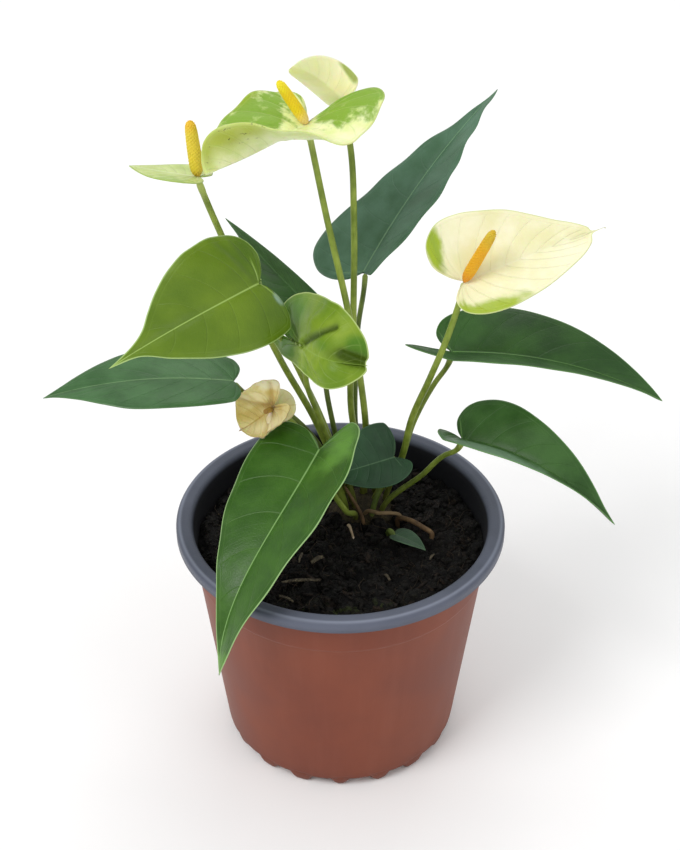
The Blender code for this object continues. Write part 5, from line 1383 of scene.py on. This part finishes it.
def looseObject(name, kind):
    shell = bmesh.new()
    if kind == "crumb":
        bmesh.ops.create_icosphere(shell, subdivisions=1, radius=0.0011)
        for corner in shell.verts:
            corner.co *= 1 + 0.45 * noise.noise(corner.co * 1500 + Vector((3, 1, 2)))
            corner.co.z *= 0.7
    elif kind == "chip":
        bmesh.ops.create_cube(shell, size=1.0)
        bmesh.ops.subdivide_edges(shell, edges=shell.edges, cuts=1)
        for corner in shell.verts:
            x, y, z = corner.co
            corner.co = (x * 0.0052 * (1 - 0.5 * y * y), y * 0.0022 * (1 - 0.6 * x * x), z * 0.0007 + 0.0012 * x * x)
            corner.co += Vector((0.0004, 0.0003, 0.0002)) * noise.noise(Vector((x, y, z)) * 5)
    else:
        rings = []
        for number in range(7):
            t = number / 6 - 0.5
            centre = Vector((t * 0.009, 0.0016 * sin(5 * t), 0.0012 * cos(6 * t)))
            wide = 0.00012 * (1.2 - abs(t))
            rings.append([shell.verts.new(centre + Vector((0, wide * cos(a), wide * sin(a)))) for a in (0, 2.1, 4.2)])
        for one, two in zip(rings, rings[1:]):
            for k in range(3):
                shell.faces.new((one[k], one[(k + 1) % 3], two[(k + 1) % 3], two[k]))
        shell.faces.new(list(reversed(rings[0])))
        shell.faces.new(rings[-1])
    bmesh.ops.recalc_face_normals(shell, faces=shell.faces)
    mesh = bpy.data.meshes.new(name)
    shell.to_mesh(mesh)
    shell.free()
    item = bpy.data.objects.new(name, mesh)
    bpy.context.scene.collection.objects.link(item)
    return item


fill = soilMesh()
newPiece("soilFill", fill, [soilMaterial("pottingSoil", "#030202", "#0D0A08", 0.95, 300.0)], "soil", "soil")
litterTree = makeLitterTree()
litter = {
    "soilCrumbs": dict(kind="crumb", density=soil["crumbDensity"], smallest=0.4, largest=1.9, sink=0.0002,
                       reach=0.0552, tilt=1.0, seed=3, finish=soilMaterial("soilCrumb", "#040302", "#1E1711", 0.85, 420.0, True)),
    "barkChips": dict(kind="chip", density=soil["chipDensity"], smallest=0.35, largest=1.3, sink=0.0,
                      reach=0.0535, tilt=0.2, seed=11, finish=soilMaterial("barkChip", "#080504", "#3C2D20", 0.75, 260.0)),
    "rootFibres": dict(kind="fibre", density=soil["fibreDensity"], smallest=0.4, largest=1.3, sink=-0.0002,
                       reach=0.0515, tilt=0.12, seed=23, finish=soilMaterial("rootFibre", "#17110C", "#5C4C3A", 0.8, 120.0)),
}
for name, kind in litter.items():
    shape = looseObject(kind["kind"], kind["kind"])
    mesh = runTree(litterTree, fill.copy(), {
        "Piece": shape, "Density": kind["density"], "Smallest": kind["smallest"], "Largest": kind["largest"],
        "Sink": kind["sink"], "Tilt": kind["tilt"], "Lowest": 0.0865, "Reach": kind["reach"], "Seed": kind["seed"], "Finish": kind["finish"],
    })
    bpy.data.objects.remove(shape)
    newPiece(name, mesh, None, "soil")
    print(name, len(mesh.polygons), "faces")

# Pale chips that lie on the soil in front, each by its place, length, width and turn in degrees
paleChips = {
    "places": (
        (-0.0092, -0.0157, 0.0060, 0.0020, 40), (-0.0150, -0.0280, 0.0145, 0.0015, 4),
        (-0.0205, -0.0385, 0.0060, 0.0011, 150), (-0.0155, -0.0160, 0.0052, 0.0010, 75),
        (0.0180, -0.0260, 0.0040, 0.0011, 120), (0.0360, -0.0120, 0.0036, 0.0010, 60),
    ),
    "thickness": 0.0005, "rise": 0.0010, "bend": 0.0006,
}
shell, paleChipMesh = bmesh.new(), bpy.data.meshes.new("paleChips")
for x, y, long, wide, degrees in paleChips["places"]:
    base = max(soilHeight(x + dx * long, y + dy * long) for dx in (-0.5, 0, 0.5) for dy in (-0.5, 0, 0.5)) + paleChips["rise"]
    turned = Matrix.Translation((x, y, base)) @ Matrix.Rotation(radians(degrees), 4, "Z")
    chip = bmesh.new()
    bmesh.ops.create_cube(chip, size=1.0)
    bmesh.ops.subdivide_edges(chip, edges=chip.edges, cuts=3, use_grid_fill=True)
    for corner in chip.verts:
        u, v, w = corner.co
        ragged = 1 + 0.35 * noise.noise(Vector((u * 3, v * 2, x * 900)))
        corner.co = turned @ Vector((u * long * ragged, v * wide * ragged * (1 - 1.2 * u * u), w * paleChips["thickness"] - paleChips["bend"] * 4 * u * u))
    chip.to_mesh(paleChipMesh)
    chip.free()
    shell.from_mesh(paleChipMesh)
shell.to_mesh(paleChipMesh)
shell.free()
newPiece("paleChips", paleChipMesh, [soilMaterial("paleChip", "#3E362C", "#94886E", 0.8, 500.0)], "soil")


# Crown: the short woody top of the roots
def crownMesh():
    shell = bmesh.new()
    bmesh.ops.create_uvsphere(shell, u_segments=72, v_segments=36, radius=1.0)
    for corner in shell.verts:
        x, y, z = corner.co
        lump = 1 + crown["lump"] * sin(5 * x + 3 * y + 1) + 0.10 * noise.noise(Vector((x, y, z)) * 3)
        lump += 0.05 * noise.noise(Vector((x, y, z * 0.3)) * 14)
        size = crown["radii"]
        corner.co = (x * size[0] * lump + crown["centre"][0], y * size[1] * lump + crown["centre"][1],
                     z * size[2] * (1 + 0.1 * noise.noise(Vector((x, y, z)) * 5)) + crown["middle"])
    mesh = bpy.data.meshes.new("crown")
    shell.to_mesh(mesh)
    shell.free()
    mesh.shade_smooth()
    return mesh


newPiece("rootCrown", crownMesh(), [soilMaterial("woodyCrown", "#2A2216", "#5C5234", 0.8, 400.0)], "crown", "crown")
print("crown made")

# Camera at the photograph's angle, soft light and a pale floor
view = {"elevation": 34.7, "distance": 0.600, "target": 0.147, "lens": 66.75, "frameHeight": 36.0}
camera = bpy.data.objects.new("camera", bpy.data.cameras.new("camera"))
bpy.context.scene.collection.objects.link(camera)
tilt = radians(view["elevation"])
camera.location = (-0.0002, -view["distance"] * cos(tilt), view["target"] + view["distance"] * sin(tilt))
camera.rotation_euler = (radians(90) - tilt, 0, 0)
camera.data.sensor_fit = "VERTICAL"
camera.data.sensor_height = view["frameHeight"]
camera.data.lens = view["lens"]
camera.data.clip_start = 0.01
bpy.context.scene.camera = camera

lamps = {
    "keyLamp": dict(place=(-1.7, -1.5, 2.8), aim=(0, 0, 0.12), size=1.5, power=52.0),
    "fillLamp": dict(place=(2.4, -1.5, 1.6), aim=(0, 0, 0.12), size=1.6, power=9.0),
    "topLamp": dict(place=(0.3, 1.6, 3.0), aim=(0, 0, 0.15), size=1.8, power=18.0),
}
for name, lamp in lamps.items():
    light = bpy.data.lights.new(name, "AREA")
    light.size = lamp["size"]
    light.energy = lamp["power"]
    item = bpy.data.objects.new(name, light)
    item.location = lamp["place"]
    item.rotation_euler = (Vector(lamp["aim"]) - Vector(lamp["place"])).to_track_quat("-Z", "Y").to_euler()
    bpy.context.scene.collection.objects.link(item)

world = bpy.data.worlds.new("studioWorld")
world.use_nodes = True
world.node_tree.nodes["Background"].inputs["Color"].default_value = (1, 1, 1, 1)
world.node_tree.nodes["Background"].inputs["Strength"].default_value = 0.67
bpy.context.scene.world = world
bpy.context.scene.view_settings.view_transform = "Standard"

floorMesh = bpy.data.meshes.new("floor")
floorMesh.from_pydata([(-40, -40, 0), (40, -40, 0), (40, 40, 0), (-40, 40, 0)], [], [(0, 1, 2, 3)])
floor = bpy.data.objects.new("floor", floorMesh)
bpy.context.scene.collection.objects.link(floor)
material, tree, shader, spot = newMaterial("paleFloor", {"Roughness": 0.9, "Specular IOR Level": 0.1})
paper = noiseTexture(tree, spot, 40.0, 4.0)
tree.links.new(blend(tree, paper, (0.972, 0.972, 0.972, 1), (0.985, 0.985, 0.985, 1)), shader.inputs["Base Color"])
floorMesh.materials.append(material)

print("scene ready")
